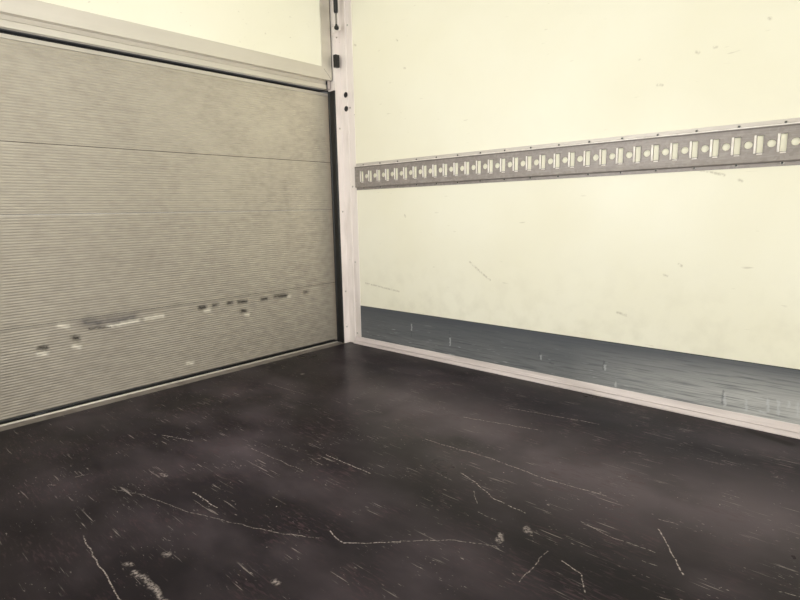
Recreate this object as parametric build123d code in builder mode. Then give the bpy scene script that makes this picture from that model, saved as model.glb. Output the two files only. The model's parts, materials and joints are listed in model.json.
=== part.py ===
from build123d import *
import os
from math import atan2, cos, sin

os.makedirs("parts", exist_ok=True)

# The box body of a light truck, off its chassis, closed at the rear by a tail-lift
# platform and a top-hinged flap over it. Millimetres: +X right, +Y forward, +Z up.
# The origin is the middle of the chassis bolt patterns, under the long members.

# Load box
body_length = 4300.0
inner_width = 2200.0
inner_height = 2200.0
wall_t = 20.0
floor_t = 21.0
roof_t = 4.0
skin_t = 6.0
corner_r = 40.0

# Sub-frame
long_member_h = 120.0
long_member_w = 60.0
long_member_t = 6.0
long_member_x = 410.0
long_member_rear_gap = 200.0
bearer_h = 80.0
bearer_w = 45.0
bearer_t = 4.0
bearer_count = 11
cleat_w = 80.0
cleat_reach = 90.0
cleat_t = 8.0
cleat_hole_r = 8.5
cleat_hole_x = 460.0
cleat_inner_y = 400.0
cleat_end_gap = 1000.0

# Edge profiles
rail_w = 66.0
rail_lip = 60.0
top_rail_drop = 80.0
post_lap = 40.0
bow_count = 6
bow_w = 40.0
bow_h = 25.0
bow_t = 3.0

# Rear portal
portal_depth = 55.0
reveal_w = 47.0
portal_t = 4.0
post_flange = 47.0
post_flange_t = 9.0
header_h = 90.0
sill_h = 85.0
sill_front = 62.0
sill_rear = 9.0

# Linings of the side walls
strip_w = 43.0
strip_t = 3.0
trim_h = 38.0
trim_w = 22.0
trim_edge = 4.0
kick_h = 212.0
kick_t = 2.0
lashing_z = 898.0
lashing_h = 131.0
lashing_flange = 17.0
lashing_depth = 12.0
lashing_t = 2.0
slot_pitch = 60.0
slot_w = 16.0
slot_h = 60.0
first_slot = 200.0
lining_end_gap = 10.0
seal_w = 8.0
seal_base = 4.0
seal_lip = 10.0
seal_low = 2.0

# Flap, with its closing profile over the platform's top edge
flap_gap = 8.0
flap_inset = 42.0
flap_t = 30.0
flap_slit = 11.0
flap_top_gap = 5.0
flap_member = 50.0
flap_panel_t = 20.0
flap_seam = 0.6
closer_face_h = 40.0
closer_lap = 43.0
closer_rear = 10.0
closer_lip_h = 22.0
closer_lip = 4.0
closer_groove = 3.0
closer_cap_w = 20.0
drip_reach = 60.0
drip_lip_h = 13.0
drip_lip_w = 6.0
drip_t = 4.0
drip_foot = 25.0
flap_axis_out = 14.0
flap_axis_drop = 12.0
flap_hinge_r = 9.0
flap_pin_r = 4.0
flap_hinge_w = 30.0
flap_hinge_end = 265.0
flap_hinge_count = 3
hinge_t = 4.0
hinge_plate_h = 60.0
hinge_leaf_h = 90.0
hinge_leaf_drop = 14.0
hinge_side_gap = 1.5

# Gas struts of the flap
strut_side = 16.5
strut_out = -100.0
strut_high_drop = 143.0
strut_length = 340.0
strut_rod_shown = 75.0
strut_barrel_r = 11.0
strut_rod_r = 5.0
strut_eye_r = 8.0
strut_end_gap = 5.0
strut_foot_w = 30.0
strut_foot_h = 50.0
strut_foot_t = 3.0
strut_leg_w = 4.0
strut_leg_gap = 2.0
strut_boss_r = 6.0
strut_leg_h = 24.0
strut_leg_end = 12.0
buffer_w = 25.0
buffer_h = 60.0
buffer_d = 20.0
buffer_lap = 6.0
buffer_up = 63.0

# Platform
platform_out = 23.0
platform_t = 50.0
platform_tip_t = 20.0
platform_lap = 52.0
platform_frame_w = 25.0
plank_joints = (5.0, 333.0, 733.0, 982.0, 1322.0)
plank_seam = 1.5
rib_pitch = 10.0
rib_depth = 1.2
rib_share = 0.6
tip_h = 14.0
root_bottom = -70.0
root_plate_t = 6.0
root_plate_top = 120.0
root_lug_foot = (60.0, 20.0)

# Tail lift: pivots as distance behind the portal and height over the floor
head_pivot = (113.0, -35.0)
link_drop = 110.0
arm_pivot = (-550.0, -500.0)
arm_elbow = (20.0, -190.0)
cylinder_base = (-575.0, -660.0)
cylinder_seat = 440.0
arm_x = 330.0
arm_w = 50.0
arm_root_r = 34.0
arm_elbow_r = 30.0
arm_head_r = 28.0
arm_pin_r = 18.0
plate_t = 15.0
side_gap = 5.0
web_t = 8.0
link_w = 30.0
link_r = 24.0
link_pin_r = 12.0
cylinder_x = 250.0
cylinder_r = 30.0
cylinder_eye_w = 30.0
cylinder_eye_r = 24.0
cylinder_rod_r = 14.0
cylinder_neck = 16.0
cylinder_neck_r = 16.0
cylinder_wall = 1.0
cylinder_pin_r = 14.0
cylinder_tube = 290.0
cylinder_cap = 20.0
cylinder_overlap = 112.0
rod_eye_neck = 40.0
rod_eye_neck_r = 12.0
eye_gap = 0.5
pin_gap = 0.3
cross_tube = 100.0
cross_tube_at = (-640.0, -540.0)
cross_tube_in = 226.0
base_lug_foot = (10.0, 30.0)
brace_r = 27.0
brace_share = 0.85
side_plate_t = 12.0
# corners of the lift's side plates: distance behind the portal, height over the floor
side_plate_corners = (
    (-900.0, -109.0),
    (-560.0, -109.0),
    (-560.0, -230.0),
    (-590.0, -430.0),
    (-590.0, -600.0),
    (-700.0, -600.0),
    (-900.0, -230.0),
)

# Underrun bars, lamps and power pack
underrun_x0 = 480.0
underrun_end_in = 46.0
underrun_front = -100.0
underrun_rear = -25.0
underrun_top = -450.0
underrun_h = 100.0
bracket_x = 700.0
bracket_t = 12.0
lamp_w = 250.0
lamp_h = 90.0
lamp_d = 30.0
lamp_edge = 10.0
marker_w = 110.0
marker_h = 40.0
marker_d = 14.0
marker_side_in = 176.0
marker_end_in = 850.0
pack_size = (400.0, 380.0, 300.0)
pack_side_in = 486.0

# Worked out from the sizes above
half_in = inner_width / 2
half_panel = half_in + wall_t
half_out = half_panel + skin_t
rear_y = -body_length / 2
front_y = body_length / 2
bearer_top = long_member_h + bearer_h
floor_top = bearer_top + floor_t
roof_z = floor_top + inner_height
roof_top = roof_z + roof_t + skin_t
rail_low = bearer_top - bearer_h
front_panel_y = front_y - skin_t
front_in_y = front_panel_y - wall_t
corner_y = front_in_y - corner_r
corner_x = half_in - corner_r
portal_y = rear_y + portal_depth
strip_y = portal_y + post_flange + strip_w
cleat_outer_y = front_y - cleat_end_gap
cleat_ys = (-cleat_outer_y, -cleat_inner_y, cleat_inner_y, cleat_outer_y)
reveal_x = half_in - reveal_w
header_z = roof_z - header_h
planks_z = floor_top + plank_joints[0]
planks_top = floor_top + plank_joints[-1]
platform_top = planks_top + tip_h
platform_half_w = reveal_x + platform_lap
closer_z = platform_top + flap_slit
flap_half = reveal_x - flap_gap
flap_z0 = closer_z + closer_face_h
flap_z1 = header_z - flap_top_gap


def at(out, height):
    # Y and Z of a point given by its distance behind the portal and height over the floor
    return (rear_y - out, floor_top + height)


def save(piece, name):
    piece.part.label = name
    export_step(piece.part, f"parts/{name}.step")


def outline(plane, points):
    with BuildSketch(plane) as shape:
        with BuildLine():
            Polyline(points, close=True)
        make_face()
    return shape.sketch


def octagon(plane, centre, radius):
    with BuildSketch(plane) as shape:
        with Locations(centre):
            RegularPolygon(radius, 8, rotation=22.5)
    return shape.sketch


def bar_outline(plane, ends):
    # ends: (Y, Z, radius) of the chamfered ends that the outline runs round
    with BuildSketch(plane) as shape:
        for y, z, radius in ends:
            with Locations((y, z)):
                RegularPolygon(radius, 8, rotation=22.5)
        make_hull()
    return shape.sketch


def disc(plane, centre, radius):
    with BuildSketch(plane) as shape:
        with Locations(centre):
            Circle(radius)
    return shape.sketch


def rect(plane, a0, a1, b0, b1):
    with BuildSketch(plane) as shape:
        with Locations(((a0 + a1) / 2, (b0 + b1) / 2)):
            Rectangle(a1 - a0, b1 - b0)
    return shape.sketch


def block(x0, x1, y0, y1, z0, z1, mode=Mode.ADD):
    # added to the part whose block calls this
    extrude(rect(Plane.XY.offset(z0), x0, x1, y0, y1), amount=z1 - z0, mode=mode)


# Sub-frame
long_front_y = front_panel_y - wall_t
long_length = long_front_y - (rear_y + long_member_rear_gap)
inner_x = long_member_x - long_member_w
with BuildPart() as long_members:
    with BuildSketch(Plane.XZ.offset(-long_front_y)):
        with BuildLine():
            Polyline(
                (inner_x, 0),
                (long_member_x, 0),
                (long_member_x, long_member_h),
                (inner_x, long_member_h),
                (inner_x, long_member_h - long_member_t),
                (long_member_x - long_member_t, long_member_h - long_member_t),
                (long_member_x - long_member_t, long_member_t),
                (inner_x, long_member_t),
                close=True,
            )
        make_face()
    extrude(amount=long_length)
    mirror(about=Plane.YZ)
save(long_members, "long_members")

with BuildPart() as mounting_cleats:
    for y in cleat_ys:
        with BuildSketch(Plane.XZ.offset(-y - cleat_w / 2)):
            with BuildLine():
                Polyline(
                    (long_member_x, 0),
                    (long_member_x + cleat_reach, 0),
                    (long_member_x + cleat_reach, cleat_t),
                    (long_member_x + cleat_t, cleat_t),
                    (long_member_x + cleat_t, long_member_h - cleat_t),
                    (long_member_x, long_member_h - cleat_t),
                    close=True,
                )
            make_face()
        extrude(amount=cleat_w)
        extrude(disc(Plane.XY, (cleat_hole_x, y), cleat_hole_r), amount=cleat_t, mode=Mode.SUBTRACT)
    mirror(about=Plane.YZ)
save(mounting_cleats, "mounting_cleats")

bearer_first = rear_y + sill_front + bearer_w
bearer_last = long_front_y - bearer_w
bearer_step = (bearer_last - bearer_first) / (bearer_count - 1)
bearer_half = half_out - rail_w
with BuildPart() as cross_bearers:
    for i in range(bearer_count):
        web_y = bearer_first + i * bearer_step
        with BuildSketch(Plane.YZ):
            with BuildLine():
                Polyline(
                    (web_y, long_member_h),
                    (web_y, bearer_top),
                    (web_y - bearer_w, bearer_top),
                    (web_y - bearer_w, bearer_top - bearer_t),
                    (web_y - bearer_t, bearer_top - bearer_t),
                    (web_y - bearer_t, long_member_h + bearer_t),
                    (web_y - bearer_w, long_member_h + bearer_t),
                    (web_y - bearer_w, long_member_h),
                    close=True,
                )
            make_face()
        extrude(amount=bearer_half, both=True)
save(cross_bearers, "cross_bearers")

# Floor, walls and roof
with BuildPart() as floor_panel:
    block(-half_in, half_in, rear_y + sill_front, front_in_y, bearer_top, floor_top)
    fillet(floor_panel.edges().filter_by(Axis.Z).group_by(Axis.Y)[-1], corner_r + 1)
save(floor_panel, "floor_panel")

for side, sign in (("left", -1), ("right", 1)):
    with BuildPart() as side_wall:
        x0, x1 = sorted((sign * half_in, sign * half_panel))
        block(x0, x1, portal_y, corner_y, bearer_top, roof_z)
    save(side_wall, f"wall_{side}")

with BuildPart() as front_wall:
    block(-corner_x, corner_x, front_in_y, front_panel_y, bearer_top, roof_z)
save(front_wall, "front_wall")

with BuildPart() as roof_sheet:
    block(-half_panel, half_panel, portal_y, front_panel_y, roof_z, roof_z + roof_t)
    fillet(roof_sheet.edges().filter_by(Axis.Z).group_by(Axis.Y)[-1], corner_r + wall_t)
save(roof_sheet, "roof_sheet")

bow_step = (front_in_y - portal_y) / (bow_count + 1)
with BuildPart() as roof_bows:
    for i in range(bow_count):
        bow_y = portal_y + (i + 1) * bow_step
        block(-half_in, half_in, bow_y - bow_w / 2, bow_y + bow_w / 2, roof_z - bow_h, roof_z)
        block(
            -half_in,
            half_in,
            bow_y - bow_w / 2 + bow_t,
            bow_y + bow_w / 2 - bow_t,
            roof_z - bow_h + bow_t,
            roof_z - bow_t,
            mode=Mode.SUBTRACT,
        )
save(roof_bows, "roof_bows")

# Edge profiles: sections as (distance in from the outer face, height)
bottom_section = [
    (0, rail_low),
    (0, floor_top + rail_lip),
    (skin_t, floor_top + rail_lip),
    (skin_t, bearer_top),
    (rail_w, bearer_top),
    (rail_w, rail_low),
]
top_section = [
    (0, roof_z - top_rail_drop),
    (0, roof_top),
    (rail_w, roof_top),
    (rail_w, roof_z + roof_t),
    (skin_t, roof_z + roof_t),
    (skin_t, roof_z - top_rail_drop),
]


def side_profile(section):
    # right-hand side rail, from the front corner back to the portal
    points = [(half_out - inwards, z) for inwards, z in section]
    return outline(Plane.XZ.offset(-corner_y), points)


def front_profile(section):
    points = [(front_y - inwards, z) for inwards, z in section]
    return outline(Plane.YZ, points)


rail_length = corner_y - portal_y
hollow_low = rail_low + skin_t
hollow_high = bearer_top - skin_t
with BuildPart() as bottom_rails:
    extrude(side_profile(bottom_section), amount=rail_length)
    block(
        half_out - rail_w + skin_t,
        half_panel,
        portal_y,
        corner_y,
        hollow_low,
        hollow_high,
        mode=Mode.SUBTRACT,
    )
    mirror(about=Plane.YZ)
save(bottom_rails, "bottom_rails")

with BuildPart() as front_bottom_rail:
    extrude(front_profile(bottom_section), amount=corner_x, both=True)
    block(
        -corner_x,
        corner_x,
        front_y - rail_w + skin_t,
        front_panel_y,
        hollow_low,
        hollow_high,
        mode=Mode.SUBTRACT,
    )
save(front_bottom_rail, "front_bottom_rail")

with BuildPart() as top_rails:
    extrude(side_profile(top_section), amount=rail_length)
    outer_edge = top_rails.edges().filter_by(Axis.Y).sort_by(lambda e: e.center().X + e.center().Z)[-1]
    fillet(outer_edge, skin_t * 0.8)
    mirror(about=Plane.YZ)
save(top_rails, "top_rails")

with BuildPart() as front_top_rail:
    extrude(front_profile(top_section), amount=corner_x, both=True)
save(front_top_rail, "front_top_rail")


def quarter(plane, inner, outer):
    # ring sector round the front right corner's centre
    with BuildSketch(plane) as shape:
        with Locations((corner_x, corner_y)):
            Circle(outer)
            if inner > 0:
                Circle(inner, mode=Mode.SUBTRACT)
            with Locations((outer, outer)):
                Rectangle(2 * outer, 2 * outer, mode=Mode.INTERSECT)
    return shape.sketch


corner_out = corner_r + wall_t + skin_t
with BuildPart() as front_corner_posts:
    extrude(quarter(Plane.XY.offset(rail_low), corner_r, corner_out), amount=roof_z - rail_low)
    lap_low = floor_top + rail_lip
    lap_high = roof_z - top_rail_drop
    block(half_panel, half_out, corner_y - post_lap, corner_y, lap_low, lap_high)
    block(corner_x - post_lap, corner_x, front_panel_y, front_y, lap_low, lap_high)
    mirror(about=Plane.YZ)
save(front_corner_posts, "front_corner_posts")

with BuildPart() as front_corner_caps:
    extrude(quarter(Plane.XY.offset(roof_z), corner_r + wall_t, corner_out), amount=roof_top - roof_z)
    extrude(quarter(Plane.XY.offset(roof_z + roof_t), 0, corner_out), amount=skin_t)
    mirror(about=Plane.YZ)
save(front_corner_caps, "front_corner_caps")

# Rear portal
with BuildPart() as rear_posts:
    block(reveal_x, half_out, rear_y, portal_y, rail_low, roof_top)
    block(
        reveal_x + portal_t,
        half_out - portal_t,
        rear_y + portal_t,
        portal_y - portal_t,
        rail_low,
        roof_top - portal_t,
        mode=Mode.SUBTRACT,
    )
    block(half_in - post_flange_t, half_in, portal_y, portal_y + post_flange, floor_top, roof_z)
    mirror(about=Plane.YZ)
save(rear_posts, "rear_posts")

with BuildPart() as rear_header:
    block(-reveal_x, reveal_x, rear_y, portal_y, header_z, roof_top)
    block(
        -reveal_x,
        reveal_x,
        rear_y + portal_t,
        portal_y - portal_t,
        header_z + portal_t,
        roof_top - portal_t,
        mode=Mode.SUBTRACT,
    )
save(rear_header, "rear_header")

with BuildPart() as rear_sill:
    block(-reveal_x, reveal_x, rear_y + sill_rear, rear_y + sill_front, floor_top - sill_h, floor_top)
    block(
        -reveal_x,
        reveal_x,
        rear_y + sill_rear + portal_t,
        rear_y + sill_front - portal_t,
        floor_top - sill_h + portal_t,
        floor_top - portal_t,
        mode=Mode.SUBTRACT,
    )
save(rear_sill, "rear_sill")

# rubber lip on the sill's rear face, as (distance behind the portal, height over the floor)
sill_lip = [
    (-sill_rear, -30.0),
    (sill_rear - 3.0, -30.0),
    (sill_rear, -24.0),
    (sill_rear, 2.0),
    (sill_rear - 3.0, 3.0),
    (-sill_rear, 0.0),
]
with BuildPart() as sill_seal:
    lip = [at(out, height) for out, height in sill_lip]
    extrude(outline(Plane.YZ, lip), amount=reveal_x - seal_w - 1, both=True)
save(sill_seal, "sill_seal")

# Linings
lining_front = corner_y - lining_end_gap
rail_z0 = floor_top + lashing_z - lashing_h / 2
rail_z1 = floor_top + lashing_z + lashing_h / 2
slot_count = int((lining_front - (rear_y + first_slot) - slot_w) // slot_pitch) + 1
with BuildPart() as lashing_rails:
    web_x = half_in - lashing_depth
    with BuildSketch(Plane.XZ.offset(-lining_front)):
        with BuildLine():
            Polyline(
                (half_in, rail_z0),
                (half_in, rail_z0 + lashing_flange),
                (web_x + lashing_t, rail_z0 + lashing_flange + lashing_t),
                (web_x + lashing_t, rail_z1 - lashing_flange - lashing_t),
                (half_in, rail_z1 - lashing_flange),
                (half_in, rail_z1),
                (half_in - lashing_t, rail_z1),
                (half_in - lashing_t, rail_z1 - lashing_flange),
                (web_x, rail_z1 - lashing_flange - lashing_t),
                (web_x, rail_z0 + lashing_flange + lashing_t),
                (half_in - lashing_t, rail_z0 + lashing_flange),
                (half_in - lashing_t, rail_z0),
                close=True,
            )
        make_face()
    extrude(amount=lining_front - strip_y)
    with BuildSketch(Plane.YZ.offset(web_x)):
        for i in range(slot_count):
            with Locations((rear_y + first_slot + i * slot_pitch, floor_top + lashing_z)):
                Rectangle(slot_w, slot_h)
    extrude(amount=lashing_t, mode=Mode.SUBTRACT)
    mirror(about=Plane.YZ)
save(lashing_rails, "lashing_rails")

with BuildPart() as kick_plates:
    block(half_in - kick_t, half_in, strip_y, lining_front, floor_top + trim_h, floor_top + kick_h)
    mirror(about=Plane.YZ)
save(kick_plates, "kick_plates")

with BuildPart() as floor_trims:
    with BuildSketch(Plane.XZ.offset(-lining_front)):
        with BuildLine():
            Polyline(
                (half_in, floor_top),
                (half_in, floor_top + trim_h),
                (half_in - trim_edge, floor_top + trim_h),
                (half_in - trim_w, floor_top + trim_edge),
                (half_in - trim_w, floor_top),
                close=True,
            )
        make_face()
    extrude(amount=lining_front - (portal_y + post_flange))
    mirror(about=Plane.YZ)
save(floor_trims, "floor_trims")

with BuildPart() as wall_end_strips:
    block(half_in - strip_t, half_in, portal_y + post_flange, strip_y, floor_top + trim_h, roof_z)
    mirror(about=Plane.YZ)
save(wall_end_strips, "wall_end_strips")

with BuildPart() as platform_seals:
    tip_x = reveal_x - seal_w
    base_x = reveal_x - seal_base
    lip_inner = seal_lip * 0.4
    with BuildSketch(Plane.XY.offset(floor_top + seal_low)):
        with BuildLine():
            Polyline(
                (reveal_x, rear_y),
                (base_x, rear_y),
                (tip_x, rear_y + lip_inner),
                (tip_x, rear_y + seal_lip),
                (base_x, rear_y + seal_lip + lip_inner),
                (base_x, portal_y - seal_lip - lip_inner),
                (tip_x, portal_y - seal_lip),
                (tip_x, portal_y - lip_inner),
                (base_x, portal_y),
                (reveal_x, portal_y),
                close=True,
            )
        make_face()
    extrude(amount=platform_top - floor_top)
    mirror(about=Plane.YZ)
save(platform_seals, "platform_seals")

# Flap, hinged on the header: four mitred members round a panel
flap_y0 = rear_y + flap_inset - flap_t
flap_y1 = rear_y + flap_inset
with BuildPart() as flap_frame:
    cut = flap_seam / 2
    lying = [
        (-flap_half + cut, flap_z0),
        (flap_half - cut, flap_z0),
        (flap_half - flap_member - cut, flap_z0 + flap_member),
        (-flap_half + flap_member + cut, flap_z0 + flap_member),
    ]
    standing = [
        (flap_half, flap_z0 + cut),
        (flap_half, flap_z1 - cut),
        (flap_half - flap_member, flap_z1 - flap_member - cut),
        (flap_half - flap_member, flap_z0 + flap_member + cut),
    ]
    upper = [(x, flap_z0 + flap_z1 - z) for x, z in lying]
    for member in (lying, upper, standing, [(-x, z) for x, z in standing]):
        extrude(outline(Plane.XZ.offset(-flap_y1), member), amount=flap_t)
save(flap_frame, "flap_frame")

with BuildPart() as flap_panel:
    panel_y = (flap_y0 + flap_y1) / 2
    block(
        -flap_half + flap_member,
        flap_half - flap_member,
        panel_y - flap_panel_t / 2,
        panel_y + flap_panel_t / 2,
        flap_z0 + flap_member,
        flap_z1 - flap_member,
    )
save(flap_panel, "flap_panel")

closer_back_y = rear_y - closer_rear
closer_lip_z = closer_z + closer_lip_h
closer_section = [
    (closer_back_y, closer_z),
    (closer_back_y, flap_z0 + closer_lap),
    (flap_y0, flap_z0 + closer_lap),
    (flap_y0, closer_lip_z + closer_groove),
    (flap_y0 - closer_groove, closer_lip_z + closer_groove / 3),
    (flap_y0 + closer_lip, closer_lip_z),
    (flap_y0 + closer_lip, closer_z),
]
closer_half = flap_half - closer_cap_w
with BuildPart() as flap_bottom_profile:
    extrude(outline(Plane.YZ, closer_section), amount=closer_half - flap_seam, both=True)
    extrude(outline(Plane.YZ.offset(closer_half), closer_section), amount=closer_cap_w)
    extrude(outline(Plane.YZ.offset(-flap_half), closer_section), amount=closer_cap_w)
save(flap_bottom_profile, "flap_bottom_profile")

# rubber drip lip on the closing profile, over the platform's top edge
with BuildPart() as flap_seal:
    drip_z = closer_z + drip_lip_h - drip_t - closer_groove
    drip_y = closer_back_y - drip_reach
    drip_section = [
        (closer_back_y, drip_z),
        (closer_back_y, closer_z + drip_foot),
        (closer_back_y - drip_t, closer_z + drip_foot),
        (closer_back_y - drip_t, drip_z + drip_t),
        (drip_y, drip_z + drip_t),
        (drip_y, drip_z + drip_t - drip_lip_h),
        (drip_y + drip_lip_w, drip_z + drip_t - drip_lip_h),
        (drip_y + drip_lip_w, drip_z),
    ]
    extrude(outline(Plane.YZ, drip_section), amount=flap_half, both=True)
save(flap_seal, "flap_seal")

axis_y = rear_y - flap_axis_out
axis_z = header_z - flap_axis_drop
leaf_w = flap_hinge_w - 1
hinge_first = -flap_half + flap_hinge_end
hinge_step = -2 * hinge_first / (flap_hinge_count - 1)
hinge_xs = [hinge_first + i * hinge_step for i in range(flap_hinge_count)]
cheek_in = leaf_w / 2 + hinge_side_gap
with BuildPart() as flap_hinge_blocks:
    cheek = [
        (rear_y, header_z + hinge_t / 2),
        (rear_y, header_z + hinge_plate_h),
        (rear_y - hinge_t, header_z + hinge_plate_h),
        (rear_y - hinge_t, header_z + 2 * hinge_t),
        (axis_y, axis_z + flap_hinge_r * 0.9),
        (axis_y + flap_hinge_r * 0.6, axis_z + flap_hinge_r * 0.5),
    ]
    for hinge_x in hinge_xs:
        for x0 in (hinge_x - cheek_in - leaf_w, hinge_x + cheek_in):
            plane = Plane.YZ.offset(x0)
            extrude(outline(plane, cheek), amount=leaf_w)
            extrude(octagon(plane, (axis_y, axis_z), flap_hinge_r), amount=leaf_w)
        pin_plane = Plane.YZ.offset(hinge_x - cheek_in - leaf_w / 2)
        extrude(disc(pin_plane, (axis_y, axis_z), flap_pin_r), amount=2 * cheek_in + leaf_w)
save(flap_hinge_blocks, "flap_hinge_blocks")

with BuildPart() as flap_hinge_leaves:
    leaf = [
        (flap_y0, flap_z1 - hinge_leaf_h),
        (flap_y0, flap_z1 - hinge_leaf_drop),
        (axis_y, axis_z - hinge_t / 2),
        (axis_y, axis_z - flap_hinge_r * 0.9),
        (flap_y0 - hinge_t, flap_z1 - hinge_leaf_drop - 2 * hinge_t),
        (flap_y0 - hinge_t, flap_z1 - hinge_leaf_h),
    ]
    for hinge_x in hinge_xs:
        plane = Plane.YZ.offset(hinge_x - leaf_w / 2)
        extrude(outline(plane, leaf), amount=leaf_w)
        extrude(octagon(plane, (axis_y, axis_z), flap_hinge_r), amount=leaf_w)
        bore = disc(plane, (axis_y, axis_z), flap_pin_r + pin_gap)
        extrude(bore, amount=leaf_w, mode=Mode.SUBTRACT)
save(flap_hinge_leaves, "flap_hinge_leaves")

# Gas struts: the barrel hangs on the flap, the rod reaches down to the post
strut_x = reveal_x - strut_side
strut_y = rear_y - strut_out
high_z = header_z - strut_high_drop
low_z = high_z - strut_length
barrel_top = high_z - strut_eye_r
barrel_low = low_z + strut_rod_shown
for side, sign in (("left", -1), ("right", 1)):
    eye_plane = Plane.YZ.offset(sign * strut_x - strut_eye_r)
    with BuildPart() as strut_barrel:
        eye = [(strut_y, high_z, strut_eye_r), (strut_y, barrel_top, strut_rod_r)]
        extrude(bar_outline(eye_plane, eye), amount=2 * strut_eye_r)
        tube = disc(Plane.XY.offset(barrel_low), (sign * strut_x, strut_y), strut_barrel_r)
        extrude(tube, amount=barrel_top - barrel_low)
        bore = disc(Plane.XY.offset(barrel_low), (sign * strut_x, strut_y), strut_rod_r + pin_gap)
        extrude(bore, amount=barrel_top - barrel_low - strut_barrel_r, mode=Mode.SUBTRACT)
    save(strut_barrel, f"strut_barrel_{side}")
    with BuildPart() as strut_rod:
        extrude(octagon(eye_plane, (strut_y, low_z), strut_eye_r), amount=2 * strut_eye_r)
        rod_top = barrel_top - strut_barrel_r - strut_end_gap
        rod = disc(Plane.XY.offset(low_z), (sign * strut_x, strut_y), strut_rod_r)
        extrude(rod, amount=rod_top - low_z)
    save(strut_rod, f"strut_rod_{side}")

# each strut's eye bears on the leg of an angle bracket, on the flap by way of a boss
leg_tip_y = strut_y + strut_leg_end
with BuildPart() as post_strut_brackets:
    leg_x = strut_x + strut_eye_r + eye_gap
    foot_y = portal_y + strut_foot_t
    block(leg_x, reveal_x + strut_foot_w, portal_y, foot_y, low_z - strut_foot_h / 2, low_z + strut_foot_h / 2)
    block(leg_x, reveal_x, foot_y, leg_tip_y, low_z - strut_leg_h / 2, low_z + strut_leg_h / 2)
    mirror(about=Plane.YZ)
save(post_strut_brackets, "post_strut_brackets")

with BuildPart() as flap_strut_brackets:
    leg_x = strut_x - strut_barrel_r - strut_leg_gap
    foot_y = flap_y1 + strut_foot_t
    foot_x = leg_x - strut_foot_w
    block(foot_x, leg_x, flap_y1, foot_y, high_z - strut_foot_h / 2, high_z + strut_foot_h / 2)
    block(leg_x - strut_leg_w, leg_x, foot_y, leg_tip_y, high_z - strut_leg_h / 2, high_z + strut_leg_h / 2)
    boss_w = strut_barrel_r + strut_leg_gap - strut_eye_r - eye_gap
    extrude(octagon(Plane.YZ.offset(leg_x), (strut_y, high_z), strut_boss_r), amount=boss_w)
    mirror(about=Plane.YZ)
save(flap_strut_brackets, "flap_strut_brackets")

with BuildPart() as flap_buffers:
    buffer_x = reveal_x - buffer_lap
    buffer_z = flap_z0 + buffer_up
    block(buffer_x, buffer_x + buffer_w, portal_y, portal_y + buffer_d, buffer_z, buffer_z + buffer_h)
    mirror(about=Plane.YZ)
save(flap_buffers, "flap_buffers")

# Platform, upright behind the portal
surface_y = rear_y - platform_out
plank_half = platform_half_w - platform_frame_w
root_z = floor_top + root_bottom


def back_y(z):
    # outer face of the platform, which tapers from the root to the tip
    share = (z - planks_z) / (planks_top - planks_z)
    return surface_y - platform_t + (platform_t - platform_tip_t) * share


def ribbed_face(z0, z1):
    # points up the loading face of a plank: a ridge at each pitch, a valley between
    points = []
    for i in range(int((z1 - z0) // rib_pitch)):
        z = z0 + i * rib_pitch
        points += [(surface_y, z), (surface_y - rib_depth, z + rib_pitch * rib_share)]
    return points + [(surface_y, z0 + len(points) / 2 * rib_pitch), (surface_y, z1)]


with BuildPart() as platform_planks:
    for low, high in zip(plank_joints, plank_joints[1:]):
        z0 = floor_top + low
        z1 = floor_top + high - plank_seam
        plank = ribbed_face(z0, z1) + [(back_y(z1), z1), (back_y(z0), z0)]
        extrude(outline(Plane.YZ, plank), amount=plank_half, both=True)
save(platform_planks, "platform_planks")

with BuildPart() as platform_side_frames:
    frame_side = [
        (surface_y, planks_z),
        (surface_y, planks_top),
        (back_y(planks_top), planks_top),
        (back_y(planks_z), planks_z),
    ]
    extrude(outline(Plane.YZ.offset(plank_half), frame_side), amount=platform_frame_w)
    mirror(about=Plane.YZ)
save(platform_side_frames, "platform_side_frames")

with BuildPart() as platform_tip:
    tip_side = [
        (surface_y, planks_top),
        (surface_y, platform_top),
        (surface_y - platform_tip_t / 2, platform_top),
        (surface_y - platform_tip_t, planks_top),
    ]
    extrude(outline(Plane.YZ, tip_side), amount=platform_half_w, both=True)
save(platform_tip, "platform_tip")

head_y, head_z = at(*head_pivot)
arm_in = arm_x - arm_w / 2
arm_out = arm_x + arm_w / 2
plate_xs = (arm_in - side_gap - plate_t, arm_out + 2 * side_gap + link_w)
link_x = arm_out + side_gap
lug_xs = (plate_xs[0] - side_gap - plate_t, plate_xs[1] + plate_t + side_gap)
notch_x0 = plate_xs[0] - side_gap
notch_x1 = plate_xs[1] + plate_t + side_gap
root_back = surface_y - platform_t - root_plate_t
with BuildPart() as platform_root:
    block(-platform_half_w, platform_half_w, surface_y - platform_t, surface_y, root_z, planks_z)
    block(
        -platform_half_w,
        platform_half_w,
        root_back,
        surface_y - platform_t,
        root_z,
        floor_top + root_plate_top,
    )
    for sign in (-1, 1):
        x0, x1 = sorted((sign * notch_x0, sign * notch_x1))
        block(x0, x1, root_back, surface_y, root_z, planks_z, mode=Mode.SUBTRACT)
        for lug_x in lug_xs:
            x0, x1 = sorted((sign * lug_x, sign * (lug_x + plate_t)))
            plane = Plane.YZ.offset(x0)
            foot_up, foot_r = root_lug_foot
            foot = (root_back + root_plate_t - foot_r, head_z + foot_up, foot_r)
            extrude(bar_outline(plane, [(head_y, head_z, arm_head_r), foot]), amount=plate_t)
            bore = disc(plane, (head_y, head_z), arm_pin_r + pin_gap)
            extrude(bore, amount=plate_t, mode=Mode.SUBTRACT)
save(platform_root, "platform_root")

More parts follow.
